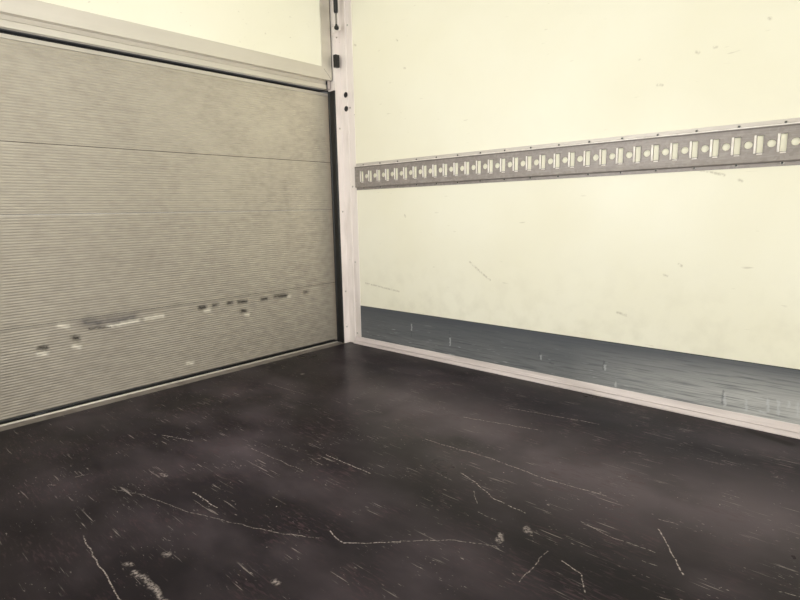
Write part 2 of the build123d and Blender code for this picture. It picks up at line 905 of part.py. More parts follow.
# Tail lift under the body
arm_y, arm_z = at(*arm_pivot)
elbow_y, elbow_z = at(*arm_elbow)
link_low = (arm_y, arm_z - link_drop)
link_high = (head_y, head_z - link_drop)
base_y, base_z = at(*cylinder_base)
arm_slope = atan2(elbow_z - arm_z, arm_y - elbow_y)
seat_y = arm_y - cylinder_seat * cos(arm_slope)
seat_z = arm_z + cylinder_seat * sin(arm_slope)
tube_y, tube_z = at(*cross_tube_at)
tube_low = tube_z - cross_tube / 2
tube_high = tube_z + cross_tube / 2
tube_front = tube_y + cross_tube / 2
tube_back = tube_y - cross_tube / 2
cylinder_in = cylinder_x - cylinder_eye_w / 2
cylinder_out = cylinder_x + cylinder_eye_w / 2

with BuildPart() as lift_arms:
    for sign in (-1, 1):
        plane = Plane.YZ.offset(sign * arm_x - arm_w / 2)
        root = (arm_y, arm_z, arm_root_r)
        elbow = (elbow_y, elbow_z, arm_elbow_r)
        head = (head_y, head_z, arm_head_r)
        extrude(bar_outline(plane, [root, elbow]), amount=arm_w)
        extrude(bar_outline(plane, [elbow, head]), amount=arm_w)
        x0, x1 = sorted((sign * (cylinder_out + eye_gap), sign * arm_in))
        extrude(octagon(Plane.YZ.offset(x0), (seat_y, seat_z), cylinder_eye_r), amount=x1 - x0)
        for centre in ((arm_y, arm_z), (head_y, head_z)):
            extrude(disc(plane, centre, arm_pin_r + pin_gap), amount=arm_w, mode=Mode.SUBTRACT)
    brace = (arm_y + (elbow_y - arm_y) * brace_share, arm_z + (elbow_z - arm_z) * brace_share)
    extrude(octagon(Plane.YZ, brace, brace_r), amount=arm_in, both=True)
save(lift_arms, "lift_arms")

with BuildPart() as lower_links:
    for sign in (-1, 1):
        x0, x1 = sorted((sign * link_x, sign * (link_x + link_w)))
        plane = Plane.YZ.offset(x0)
        ends = [(*link_low, link_r), (*link_high, link_r)]
        extrude(bar_outline(plane, ends), amount=link_w)
        for centre in (link_low, link_high):
            extrude(disc(plane, centre, link_pin_r + pin_gap), amount=link_w, mode=Mode.SUBTRACT)
save(lower_links, "lower_links")

web_gap = arm_head_r + side_gap
with BuildPart() as knuckles:
    for sign in (-1, 1):
        for plate_x in plate_xs:
            x0, x1 = sorted((sign * plate_x, sign * (plate_x + plate_t)))
            plane = Plane.YZ.offset(x0)
            ends = [(head_y, head_z, arm_head_r), (*link_high, arm_head_r)]
            extrude(bar_outline(plane, ends), amount=plate_t)
            block(x0, x1, head_y - web_gap, head_y, head_z - link_drop, head_z - plate_t)
            bore = disc(plane, (head_y, head_z), arm_pin_r + pin_gap)
            extrude(bore, amount=plate_t, mode=Mode.SUBTRACT)
        x0, x1 = sorted((sign * plate_xs[0], sign * (plate_xs[-1] + plate_t)))
        block(x0, x1, head_y - web_gap - web_t, head_y - web_gap, head_z - link_drop, head_z - plate_t)
        x0, x1 = sorted((sign * (plate_xs[0] + 1), sign * (plate_xs[-1] + plate_t - 1)))
        extrude(disc(Plane.YZ.offset(x0), link_high, link_pin_r), amount=x1 - x0)
save(knuckles, "knuckles")

pin_x0 = lug_xs[0] - side_gap
pin_x1 = lug_xs[1] + plate_t + side_gap
with BuildPart() as platform_pins:
    for sign in (-1, 1):
        x0, x1 = sorted((sign * pin_x0, sign * pin_x1))
        extrude(disc(Plane.YZ.offset(x0), (head_y, head_z), arm_pin_r), amount=x1 - x0)
save(platform_pins, "platform_pins")


def cylinder_plane(sign, distance):
    # square to a lift cylinder's axis, at a distance from its base pin
    axis = Vector(0, seat_y - base_y, seat_z - base_z)
    return Plane(origin=(sign * cylinder_x, base_y, base_z), x_dir=(1, 0, 0), z_dir=axis).offset(distance)


def along_cylinder(distance):
    share = distance / cylinder_length
    return (base_y + (seat_y - base_y) * share, base_z + (seat_z - base_z) * share)


cylinder_length = Vector(0, seat_y - base_y, seat_z - base_z).length
tube_start = cylinder_eye_r + cylinder_neck
tube_end = tube_start + cylinder_tube
bore_start = tube_start + cylinder_cap
rod_start = tube_end - cylinder_overlap
with BuildPart() as lift_barrels:
    for sign in (-1, 1):
        eye_plane = Plane.YZ.offset(sign * cylinder_x - cylinder_eye_w / 2)
        ends = [(base_y, base_z, cylinder_eye_r), (*along_cylinder(tube_start), cylinder_neck_r)]
        extrude(bar_outline(eye_plane, ends), amount=cylinder_eye_w)
        extrude(disc(cylinder_plane(sign, tube_start), (0, 0), cylinder_r), amount=cylinder_tube)
        bore = disc(cylinder_plane(sign, bore_start), (0, 0), cylinder_rod_r + cylinder_wall)
        extrude(bore, amount=tube_end - bore_start, mode=Mode.SUBTRACT)
        pin_bore = disc(eye_plane, (base_y, base_z), cylinder_pin_r + pin_gap)
        extrude(pin_bore, amount=cylinder_eye_w, mode=Mode.SUBTRACT)
save(lift_barrels, "lift_barrels")

with BuildPart() as lift_rods:
    for sign in (-1, 1):
        eye_plane = Plane.YZ.offset(sign * cylinder_x - cylinder_eye_w / 2)
        rod = disc(cylinder_plane(sign, rod_start), (0, 0), cylinder_rod_r)
        extrude(rod, amount=cylinder_length - cylinder_eye_r - rod_start)
        neck = along_cylinder(cylinder_length - rod_eye_neck)
        ends = [(seat_y, seat_z, cylinder_eye_r), (*neck, rod_eye_neck_r)]
        extrude(bar_outline(eye_plane, ends), amount=cylinder_eye_w)
save(lift_rods, "lift_rods")

base_xs = (cylinder_in - side_gap - plate_t, cylinder_out + side_gap)
cross_tube_half = half_out - cross_tube_in
with BuildPart() as lift_cross_tube:
    block(-cross_tube_half, cross_tube_half, tube_back, tube_front, tube_low, tube_high)
    for sign in (-1, 1):
        for plate_x in plate_xs:
            x0, x1 = sorted((sign * plate_x, sign * (plate_x + plate_t)))
            plane = Plane.YZ.offset(x0)
            ends = [(arm_y, arm_z, arm_root_r), (*link_low, link_r)]
            extrude(bar_outline(plane, ends), amount=plate_t)
            block(x0, x1, arm_y, tube_back, link_low[1], arm_z)
        for plate_x in base_xs:
            x0, x1 = sorted((sign * plate_x, sign * (plate_x + plate_t)))
            foot_drop, foot_r = base_lug_foot
            foot = (tube_y, tube_low - foot_drop, foot_r)
            ends = [(base_y, base_z, cylinder_eye_r), foot]
            extrude(bar_outline(Plane.YZ.offset(x0), ends), amount=plate_t)
        x0, x1 = sorted((sign * plate_xs[0], sign * (plate_xs[-1] + plate_t)))
        for centre, radius in (((arm_y, arm_z), arm_pin_r), (link_low, link_pin_r)):
            extrude(disc(Plane.YZ.offset(x0), centre, radius), amount=x1 - x0)
        x0, x1 = sorted((sign * base_xs[0], sign * (base_xs[1] + plate_t)))
        extrude(disc(Plane.YZ.offset(x0), (base_y, base_z), cylinder_pin_r), amount=x1 - x0)
save(lift_cross_tube, "lift_cross_tube")

with BuildPart() as lift_side_plates:
    corners = [at(out, height) for out, height in side_plate_corners]
    extrude(outline(Plane.YZ.offset(long_member_x), corners), amount=side_plate_t)
    block(
        long_member_x,
        long_member_x + side_plate_t,
        tube_back,
        tube_front,
        tube_low,
        tube_high,
        mode=Mode.SUBTRACT,
    )
    mirror(about=Plane.YZ)
save(lift_side_plates, "lift_side_plates")

bar_top = floor_top + underrun_top
bar_low = bar_top - underrun_h
bar_front_y = rear_y - underrun_front
bar_rear_y = rear_y - underrun_rear
underrun_x1 = half_out - underrun_end_in
with BuildPart() as underrun_bars:
    block(underrun_x0, underrun_x1, bar_rear_y, bar_front_y, bar_low, bar_top)
    bracket = [
        (tube_back, tube_high),
        (tube_back, tube_low),
        (bar_front_y, bar_low),
        (bar_front_y, bar_top),
    ]
    extrude(outline(Plane.YZ.offset(bracket_x), bracket), amount=bracket_t)
    mirror(about=Plane.YZ)
save(underrun_bars, "underrun_bars")

with BuildPart() as power_pack:
    width, depth, height = pack_size
    x0 = half_out - pack_side_in - width / 2
    y0 = -(cleat_inner_y + cleat_outer_y + depth) / 2
    block(x0, x0 + width, y0, y0 + depth, long_member_h - height, long_member_h)
save(power_pack, "power_pack")

with BuildPart() as tail_lamps:
    lamp_mid = (bar_low + bar_top) / 2
    block(
        underrun_x1 - lamp_w - lamp_edge,
        underrun_x1 - lamp_edge,
        bar_rear_y - lamp_d,
        bar_rear_y,
        lamp_mid - lamp_h / 2,
        lamp_mid + lamp_h / 2,
    )
    mirror(about=Plane.YZ)
save(tail_lamps, "tail_lamps")

with BuildPart() as marker_lamps:
    x0 = half_out - marker_side_in - marker_w / 2
    block(x0, x0 + marker_w, rear_y - marker_d, rear_y, roof_z - marker_h, roof_z)
    z0 = floor_top - marker_h * 1.5
    for marker_y in (rear_y + marker_end_in, 0.0, front_y - marker_end_in):
        y0 = marker_y - marker_w / 2
        block(half_out, half_out + marker_d, y0, y0 + marker_w, z0, z0 + marker_h)
    mirror(about=Plane.YZ)
save(marker_lamps, "marker_lamps")
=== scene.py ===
import bpy
import json
from math import pi
from mathutils import Matrix, Vector, noise


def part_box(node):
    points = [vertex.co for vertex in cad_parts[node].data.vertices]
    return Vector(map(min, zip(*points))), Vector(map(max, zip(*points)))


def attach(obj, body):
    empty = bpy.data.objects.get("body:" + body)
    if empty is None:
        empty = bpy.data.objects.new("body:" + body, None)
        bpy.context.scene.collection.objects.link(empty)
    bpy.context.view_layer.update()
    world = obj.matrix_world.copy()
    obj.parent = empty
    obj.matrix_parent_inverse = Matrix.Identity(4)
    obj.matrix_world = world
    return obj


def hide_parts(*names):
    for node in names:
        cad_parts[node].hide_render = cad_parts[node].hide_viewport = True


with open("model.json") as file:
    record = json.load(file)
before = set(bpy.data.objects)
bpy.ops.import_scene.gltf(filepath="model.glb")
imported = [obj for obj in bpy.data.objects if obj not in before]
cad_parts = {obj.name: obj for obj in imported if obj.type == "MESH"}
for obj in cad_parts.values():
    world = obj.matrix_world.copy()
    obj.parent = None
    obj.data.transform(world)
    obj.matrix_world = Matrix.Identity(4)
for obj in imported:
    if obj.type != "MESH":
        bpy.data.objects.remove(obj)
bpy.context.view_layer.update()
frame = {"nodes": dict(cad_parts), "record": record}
nodes = frame["nodes"]
print("frame loaded:", len(nodes), "nodes")

# Places that the pieces share, in metres
mm = 0.001
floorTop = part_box("floor_panel")[1].z
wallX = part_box("wall_right")[0].x  # inner face of the side walls
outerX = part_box("rear_posts")[1].x  # outer face of the edge profiles
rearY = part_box("rear_posts")[0].y
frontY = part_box("front_corner_posts")[1].y


# Materials: one small function adds a node, and the others build on it

def linear(hexColour):
    # sRGB hex to the linear colour that the shaders take
    values = [int(hexColour[i:i + 2], 16) / 255 for i in (1, 3, 5)]
    return tuple(v / 12.92 if v <= 0.04045 else ((v + 0.055) / 1.055) ** 2.4 for v in values) + (1,)


def addNode(skin, kind, settings, inputs):
    # an input is a value, a socket, or (mask, low, high) for a mask spread between two values
    node = skin.node_tree.nodes.new("ShaderNode" + kind)
    for name, value in settings.items():
        setattr(node, name, value)
    for name, value in inputs.items():
        if isinstance(value, tuple) and isinstance(value[0], bpy.types.NodeSocket):
            ends = {"Value": value[0], "To Min": value[1], "To Max": value[2]}
            value = addNode(skin, "MapRange", {}, ends)["Result"]
        if isinstance(value, bpy.types.NodeSocket):
            skin.node_tree.links.new(value, node.inputs[name])
        else:
            node.inputs[name].default_value = value
    return node.outputs


def newMaterial(name):
    skin = bpy.data.materials.new(name)
    skin.use_nodes = True
    skin.node_tree.nodes.clear()
    addNode(skin, "TexCoord", {"name": "place"}, {})
    return skin


def finishMaterial(skin, colour, rough, reliefs=(), **others):
    # adds the shader; reliefs are (mask, depth in mm), each on top of the one before
    inputs = {"Base Color": colour, "Roughness": rough}
    for height, depthMm in reliefs:
        bump = {"Height": height, "Distance": depthMm * mm, "Strength": 1}
        if "Normal" in inputs:
            bump["Normal"] = inputs["Normal"]
        inputs["Normal"] = addNode(skin, "Bump", {}, bump)["Normal"]
    inputs.update({name.replace("_", " "): value for name, value in others.items()})
    shader = addNode(skin, "BsdfPrincipled", {}, inputs)
    addNode(skin, "OutputMaterial", {}, {"Surface": shader["BSDF"]})
    return skin


def placeOn(skin):
    # where a point lies, in its piece's own coordinates
    return skin.node_tree.nodes["place"].outputs["Object"]


def blotches(skin, sizeMm, low, high, detail=3, stretch=(1, 1, 1), turn=0):
    # cloudy patches of about sizeMm, as a 0 to 1 mask; stretch makes them longer along an axis
    size = [1 / (s * sizeMm * mm) for s in stretch]
    scaled = addNode(skin, "Mapping", {}, {"Vector": placeOn(skin), "Scale": size, "Rotation": (0, 0, turn)})
    cloud = addNode(skin, "TexNoise", {}, {"Vector": scaled["Vector"], "Scale": 1, "Detail": detail})
    ends = {"Value": cloud["Fac"], "From Min": low, "From Max": high}
    return addNode(skin, "MapRange", {}, ends)["Result"]


def layered(skin, base, *layers):
    # lays other colours over the base one by one, each by its mask
    colour = linear(base)
    for other, mask in layers:
        inputs = {0: mask, 6: colour, 7: linear(other)}
        colour = addNode(skin, "Mix", {"data_type": "RGBA"}, inputs)[2]
    return colour


def combine(skin, *masks, by="MULTIPLY"):
    # takes any number of masks together, by one operation
    result = masks[0]
    for mask in masks[1:]:
        result = addNode(skin, "Math", {"operation": by}, {0: result, 1: mask})[0]
    return result


def alongAxis(skin, axis, start, end, low, high, middle=None):
    # runs from low to high between two places on an axis, or between two distances from a middle
    value = addNode(skin, "SeparateXYZ", {}, {0: placeOn(skin)})[axis]
    if middle is not None:
        value = combine(skin, value, middle, by="SUBTRACT")
        value = addNode(skin, "Math", {"operation": "ABSOLUTE"}, {0: value})[0]
    ends = {"Value": value, "From Min": start, "From Max": end, "To Min": low, "To Max": high}
    return addNode(skin, "MapRange", {}, ends)["Result"]


def wandering(skin, sizeMm, amount):
    # places moved about by up to half the amount in metres, so that lines bend
    inputs = {"Vector": placeOn(skin), "Scale": 1 / (sizeMm * mm), "Detail": 3}
    cloud = addNode(skin, "TexNoise", {}, inputs)["Color"]
    away = addNode(skin, "VectorMath", {"operation": "SUBTRACT"}, {0: cloud, 1: (0.5, 0.5, 0.5)})[0]
    inputs = {0: away, 1: amount, 2: placeOn(skin)}
    return addNode(skin, "VectorMath", {"operation": "MULTIPLY_ADD"}, inputs)[0]


def nearLines(skin, place, lines, full, gone, strength=1):
    # a mask along some bent lines: at its strength within full metres of them, and gone further out
    nearest = None
    for line in lines:
        for start, end in zip(line, line[1:]):
            along = Vector(end) - Vector(start)
            away = addNode(skin, "VectorMath", {"operation": "SUBTRACT"}, {0: place, 1: start})[0]
            inputs = {0: away, 1: along / along.length_squared}
            share = addNode(skin, "VectorMath", {"operation": "DOT_PRODUCT"}, inputs)["Value"]
            share = addNode(skin, "Clamp", {}, {"Value": share})[0]
            foot = addNode(skin, "VectorMath", {"operation": "SCALE"}, {0: along, "Scale": share})[0]
            gap = addNode(skin, "VectorMath", {"operation": "DISTANCE"}, {0: away, 1: foot})["Value"]
            nearest = combine(skin, nearest, gap, by="MINIMUM") if nearest else gap
    ends = {"Value": nearest, "From Min": full, "From Max": gone, "To Min": strength, "To Max": 0}
    return addNode(skin, "MapRange", {}, ends)["Result"]


def pointsOf(lines, place):
    # marks are lists of places in mm; each pair of numbers becomes a point on the body
    return [[place(a * mm, b * mm) for a, b in zip(line[::2], line[1::2])] for line in lines]


def onWall(lines):
    return pointsOf(lines, lambda y, z: (-wallX, y, floorTop + z))


def onFloor(lines):
    return pointsOf(lines, lambda x, y: (x, y, floorTop))


laminate = {"gel": "#F3F0DE", "shade": "#EFEBD6", "scuff": "#A9A08A", "clouds": 520, "fibre": 7}
# scuffs on the left wall, from one (place along the body, height over the floor) to the next, in mm
wallScuffs = (
    (-520, 1121, -505, 1118), (-407, 1204, -400, 1200), (-356, 1208, -350, 1207), (-1990, 1548, -1980, 1543),
    (-1285, 486, -1232, 447), (-1232, 447, -1178, 412), (-1672, 700, -1668, 690), (-465, 480, -455, 478),
    (-418, 520, -410, 515), (-382, 835, -362, 829), (-350, 826, -302, 812), (-259, 795, -252, 790),
    (-620, 330, -585, 322), (-1704, 1512, -1698, 1507), (-584, 1213, -580, 1211), (-215, 1261, -211, 1258),
    (-1660, 1378, -1652, 1376), (-1960, 340, -1720, 315),
)


def makeLaminate():
    # glass-fibre reinforced polyester, gel-coated: satin and creamy, with faint fibre print-through
    w = laminate
    skin = newMaterial("gelCoatedLaminate")
    cloud = blotches(skin, w["clouds"], 0.35, 0.7)
    scuffs = blotches(skin, 18, 0.72, 0.78, 2, (1, 5, 0.8))
    marks = nearLines(skin, placeOn(skin), onWall(wallScuffs), 0.001, 0.0065, 0.55)
    marks = combine(skin, marks, blotches(skin, 9, 0.35, 0.6, 3))
    low = alongAxis(skin, 2, floorTop + 0.21, floorTop + 0.55, 1, 0)
    dust = combine(skin, blotches(skin, 60, 0.45, 0.75, 5), low)
    specks = combine(skin, blotches(skin, 5, 0.74, 0.78, 2), blotches(skin, 130, 0.45, 0.65, 3))
    dirt = (scuffs, 0, 0.35), marks, (dust, 0, 0.16), (specks, 0, 0.32)
    colour = layered(skin, w["gel"], (w["shade"], cloud), *((w["scuff"], mask) for mask in dirt))
    fibre = blotches(skin, w["fibre"], 0.3, 0.7, 2)
    return finishMaterial(skin, colour, (cloud, 0.38, 0.5), [(fibre, 0.04)])


filmFloor = {
    "film": "#151115", "rubbed": "#252025", "haze": "#544B50", "scuffed": "#45353A", "bare": "#AEA39E",
    "smear": "#0B0909", "patches": 420, "grain": 5, "shine": 0.1,
    # fine scratches and nicks: (turn, width in mm, how rare they are, how many times longer than wide)
    "fine": ((0.15, 5, 0.67, 26), (-0.5, 4, 0.69, 26), (1.1, 5, 0.71, 26), (-0.2, 5, 0.69, 4), (0.9, 4, 0.7, 3)),
}
# scratches on the film, from one (place across, place along the body) to the next, in mm
clearScratches = (
    (569, -1189, 597, -903), (306, -1184, 306, -1062), (187, -1619, 144, -1492), (-64, -1083, -69, -900),
    (-231, -707, -212, -650, -172, -562, -169, -473), (-343, -928, -359, -688, -348, -505, -368, -354),
    (-301, -209, -169, -122), (-55, -321, -40, -276, 4, -248), (189, -773, 198, -713, 115, -621),
    (-752, -864, -809, -556), (-574, -942, -635, -688),
)
faintScratches = (
    (443, -1371, 399, -1270, 360, -1098, 275, -868, 221, -770), (546, -1527, 532, -1510), (480, -1518, 451, -1512),
    (54, -1302, 45, -1054), (-361, -1818, -368, -1565), (-189, -758, -183, -702), (-173, -623, -129, -584),
    (-97, -559, -95, -508), (-66, -360, 59, -356), (-342, -224, -345, -182), (-215, -354, -202, -273, -208, -189),
    (-160, -199, -162, -172), (-738, -243, -742, -170), (-744, -60, -749, -37), (-70, -145, -77, -121),
    (-233, 23, -240, 56), (112, -624, 36, -541, -11, -452),
)
bareSpots = (
    (-53, -470, -33, -460), (-118, -436, -106, -426), (541, -968, 539, -836), (-540, -1810, -532, -1806),
    (315, -1345, 315, -1333), (544, -1012, 544, -1000), (369, -722, 369, -712), (471, -978, 471, -968),
)
floorSmears = ((-1055, -165, -1017, -57),)
rubbedLane = ((-604, -1273, -453, -627, -460, -330, -521, 25, -500, 2000),)


def makeFilmFloor():
    # phenolic film on plywood: near black, glossy, hazed where loads slide, scratched to the pale wood
    f = filmFloor
    skin = newMaterial("filmFacedPlywood")
    worn = blotches(skin, f["patches"], 0.3, 0.75, 5)
    lane = nearLines(skin, placeOn(skin), onFloor(rubbedLane), 0.03, 0.34)
    lane = combine(skin, lane, blotches(skin, 260, 0.2, 0.55, 3))
    haze = combine(skin, blotches(skin, 180, 0.4, 0.7, 4, (1, 2, 1)), worn)
    haze = combine(skin, haze, lane, by="MAXIMUM")
    edge = alongAxis(skin, 0, wallX - 0.17, wallX - 0.07, 0, 0.75, middle=0)
    # brown scuffs where the film has thinned, in clusters
    scuffs = [blotches(skin, sizeMm, 0.56, 0.68, 4, (1, 5, 1), turn) for turn, sizeMm in ((0.3, 7), (-0.7, 6))]
    scuffs = combine(skin, combine(skin, *scuffs, by="MAXIMUM"), blotches(skin, 150, 0.46, 0.62, 4))
    # fine scratches and nicks, each drawn far coarser than it is so that it shows
    fine = []
    for turn, sizeMm, start, along in f["fine"]:
        layer = blotches(skin, sizeMm, start, start + 0.05, 2, (1, along, 1), turn)
        fine.append(combine(skin, layer, blotches(skin, 80, 0.48, 0.6, 3)))
    fine = combine(skin, *fine, by="MAXIMUM")
    # the marks wander a little from their straight lines
    marks = []
    for lines, strength, full, gone, amount in (
        (clearScratches, 1, 0.0005, 0.0018, 0.014),
        (faintScratches, 0.6, 0.0003, 0.0015, 0.014),
        (bareSpots, 0.75, 0.001, 0.010, 0.034),
    ):
        moved = wandering(skin, 40, (amount, amount, 0))
        marks.append(nearLines(skin, moved, onFloor(lines), full, gone, strength))
    marks = combine(skin, combine(skin, *marks, by="MAXIMUM"), blotches(skin, 6, 0.38, 0.6, 4))
    chips = combine(skin, blotches(skin, 7, 0.78, 0.8, 1), blotches(skin, 110, 0.55, 0.62, 2))
    marks = combine(skin, marks, (chips, 0, 0.7), by="MAXIMUM")
    smear = nearLines(skin, placeOn(skin), onFloor(floorSmears), 0.008, 0.022, 0.95)
    colour = layered(
        skin, f["film"], (f["rubbed"], worn), (f["haze"], (haze, 0, 0.9)), (f["film"], edge),
        (f["scuffed"], (scuffs, 0, 0.75)), (f["bare"], (fine, 0, 0.45)), (f["bare"], marks), (f["smear"], smear),
    )
    rough = combine(skin, (worn, 0.26, 0.5), (marks, 0.2, 0.75), by="MAXIMUM")
    reliefs = [(blotches(skin, f["grain"], 0.2, 0.8, 3), 0.05), (marks, -0.3)]
    return finishMaterial(skin, colour, rough, reliefs, Specular_IOR_Level=f["shine"])


zinc = {
    "bright": "#ABA39F", "dull": "#89827E", "drawn": "#D6CFC8", "spangle": 11,
    "bendAt": floorTop + 0.9455, "bendShade": "#5E5752", "flangeFrom": floorTop + 0.952,
}


def makeZinc():
    # hot-dip galvanised sheet: dull grey with a faint spangle and streaks of the rolls
    z = zinc
    skin = newMaterial("galvanisedSheet")
    cells = addNode(skin, "TexVoronoi", {}, {"Vector": placeOn(skin), "Scale": 1 / (z["spangle"] * mm)})
    spangle = addNode(skin, "SeparateColor", {}, {"Color": cells["Color"]})["Red"]
    film = blotches(skin, 40, 0.45, 0.7, 5, (1, 3, 1))
    drawn = blotches(skin, 4, 0.5, 0.75, 3, (1, 14, 1))
    # painted shade along the lashing rails' upper bend, and the flange over it is pale
    bend = alongAxis(skin, 2, 0.0008, 0.0026, 0.8, 0, middle=z["bendAt"])
    flange = alongAxis(skin, 2, z["flangeFrom"], z["flangeFrom"] + 0.003, 0, 0.75)
    colour = layered(
        skin, z["dull"], (z["bright"], (spangle, 0.1, 0.6)), (z["dull"], (film, 0, 0.5)),
        (z["drawn"], (drawn, 0, 0.22)), (z["bendShade"], bend), (z["drawn"], flange),
    )
    return finishMaterial(skin, colour, (spangle, 0.42, 0.52), Metallic=0.3)


# in the kick sheet, rubbed is the pale tone of a painted sheen, and bright that of painted glints
kickSheet = {"high": "#555960", "low": "#8D8F8F", "streak": "#5A5D62", "bright": "#D8DADB", "rubbed": "#D2D2CF"}
# marks of pallets on the left sheet, placed as on the wall: painted highlights where the dents bend, painted shade in
# the dents
kickGlints = (
    (-1637, 155, -1637, 125), (-1396, 120, -1397, 85), (-926, 112, -926, 97), (-656, 118, -656, 102),
    (-613, 60, -612, 45), (-252, 95, -249, 55), (-189, 87, -186, 52), (-131, 100, -128, 62), (-150, 58, -135, 56),
    (-103, 102, -99, 60), (-75, 108, -74, 90), (-54, 105, -50, 65),
)
kickDentShades = (
    (-1640, 125, -1640, 95), (-1400, 150, -1400, 120), (-931, 130, -931, 100), (-885, 90, -870, 86),
    (-661, 135, -661, 105), (-257, 100, -255, 60),
)


def makeKickSheet():
    # galvanised sheet dulled by water and boots: blue-grey, streaked lengthwise, brighter low down
    k = kickSheet
    skin = newMaterial("dulledZincSheet")
    top = floorTop + 0.2
    rise = alongAxis(skin, 2, floorTop + 0.05, top, 1, 0)
    wave = blotches(skin, 60, 0.3, 0.7, 5, (1, 9, 0.7))
    share = combine(skin, (rise, 0.15, 1), (wave, 0.55, 1.1))
    paintedSheen = alongAxis(skin, 1, -0.8, -0.2, 0, 0.95)  # painted sheen: brighter from the middle forwards
    paintedSheen = combine(skin, paintedSheen, alongAxis(skin, 2, floorTop + 0.095, top, 1, 0.1))
    streaks = blotches(skin, 7, 0.5, 0.72, 4, (1, 22, 1))
    fineLines = combine(skin, blotches(skin, 2.5, 0.45, 0.7, 3, (1, 40, 1)), rise)
    bent = wandering(skin, 9, (0, 0.016, 0.016))
    # painted shade in the dents, painted highlights on their bends, and painted glints low down
    cuts, dentGlints = (nearLines(skin, bent, onWall(lines), 0, 0.006, 0.8) for lines in (kickDentShades, kickGlints))
    glints = combine(skin, blotches(skin, 5, 0.66, 0.74, 3, (1, 12, 1)), rise)
    colour = layered(
        skin, k["high"], (k["low"], share), (k["rubbed"], paintedSheen), (k["streak"], (streaks, 0, 0.65)),
        (k["streak"], (fineLines, 0, 0.5)), (k["streak"], cuts), (k["bright"], dentGlints), (k["bright"], (glints, 0, 0.6)),
    )
    return finishMaterial(skin, colour, (streaks, 0.36, 0.52), [(streaks, 0.25)], Metallic=0.3)


deck = {
    "clean": "#D3CBB9", "dirty": "#B0A697", "low": "#8F887D", "dark": "#2F2A27", "light": "#DDD6C8",
    "smear": "#5D5858", "clouds": 240, "inside": 0.0235,
}
# marks low on the platform, from one (place across, height over the floor) to the next, in mm
deckDents = (
    (-262, 304, -285, 303), (-330, 306, -345, 306), (-405, 307, -420, 306), (-462, 303, -500, 302),
    (-590, 300, -618, 299), (-665, 304, -735, 301), (255, 264, 240, 258), (-475, 258, -495, 255),
    (370, 246, 350, 244), (-855, 303, -870, 302),
)
deckSmear = ((208, 318, 160, 306, 85, 304, 30, 310),)
deckDark = ((200, 290, 120, 283),)
# light marks: scrapes, and painted highlights on the lower lips of the dents
deckScrapesAndDentHighlights = (
    (125, 287, 60, 289, 11, 292), (-20, 294, -95, 295), (-285, 289, -310, 286), (-750, 294, -760, 292),
    (-495, 239, -510, 236), (256, 230, 240, 224), (375, 226, 350, 223), (-185, 66, -205, 61), (300, 318, 270, 313),
)


def makeDeck():
    # extruded aluminium planks, oxidised, with grime and dents from pallets
    d = deck
    skin = newMaterial("extrudedDeckAluminium")
    ragged = wandering(skin, 16, (0.02, 0, 0.011))
    broken = blotches(skin, 24, 0.3, 0.6, 2)

    def deckMark(lines, full, gone, strength):
        points = pointsOf(lines, lambda x, z: (x, rearY - d["inside"], floorTop + z))
        mask = nearLines(skin, ragged, points, full, gone)
        return combine(skin, mask, mask, (broken, 0.7 * strength, strength))

    grime = blotches(skin, d["clouds"], 0.35, 0.7, 7)
    fine = blotches(skin, 22, 0.35, 0.75, 5, (2, 1, 1))
    share = combine(skin, (grime, 0.3, 1), (fine, 0.35, 1))
    # painted shade: the dirty tone is laid on near the posts at the platform's sides
    edge = alongAxis(skin, 0, 0.99, 1.08, 0, 0.7, middle=0)
    trodden = alongAxis(skin, 0, -0.85, 0, 0, 0.5)
    # darker towards the bottom: grime, and painted shade
    height = alongAxis(skin, 2, floorTop, floorTop + 1.3, 1, 0)
    # painted shade along the dents, over their bump, and one dark mark
    dents = deckMark(deckDents, 0, 0.021, 1)
    dark = combine(skin, dents, deckMark(deckDark, 0.001, 0.005, 0.8), by="MAXIMUM")
    colour = layered(
        skin, d["clean"], (d["dirty"], combine(skin, share, edge, by="MAXIMUM")), (d["low"], trodden),
        (d["low"], combine(skin, height, (fine, 0.7, 1))),
        (d["smear"], deckMark(deckSmear, 0, 0.045, 0.95)), (d["light"], deckMark(deckScrapesAndDentHighlights, 0, 0.017, 0.95)),
        (d["dark"], dark),
    )
    return finishMaterial(skin, colour, (share, 0.45, 0.62), [(fine, 0.15), (dents, -4)], Metallic=0.35)


def makeCoat(name, base, tones, rough, grain=None, depthMm=0, metallic=0):
    # a finish with uneven tones over its base; the first tone also changes its roughness
    skin = newMaterial(name)
    masks = [blotches(skin, *patches) for tone, strength, patches in tones]
    colour = layered(skin, base, *((tone, (mask, 0, strength)) for mask, (tone, strength, _) in zip(masks, tones)))
    reliefs = [(blotches(skin, *grain), depthMm)] if grain else ()
    return finishMaterial(skin, colour, (masks[0], *rough), reliefs, Metallic=metallic)


def makePlain(name, main, other, roughness, metallic=0, sizeMm=80, grainMm=2, depthMm=0.02):
    # one finish with faint uneven tone and grain, for small pieces
    tones = [(other, 1, (sizeMm, 0.4, 0.65, 4))]
    return makeCoat(name, main, tones, (roughness, roughness + 0.1), (grainMm, 0.3, 0.7, 2), depthMm, metallic)


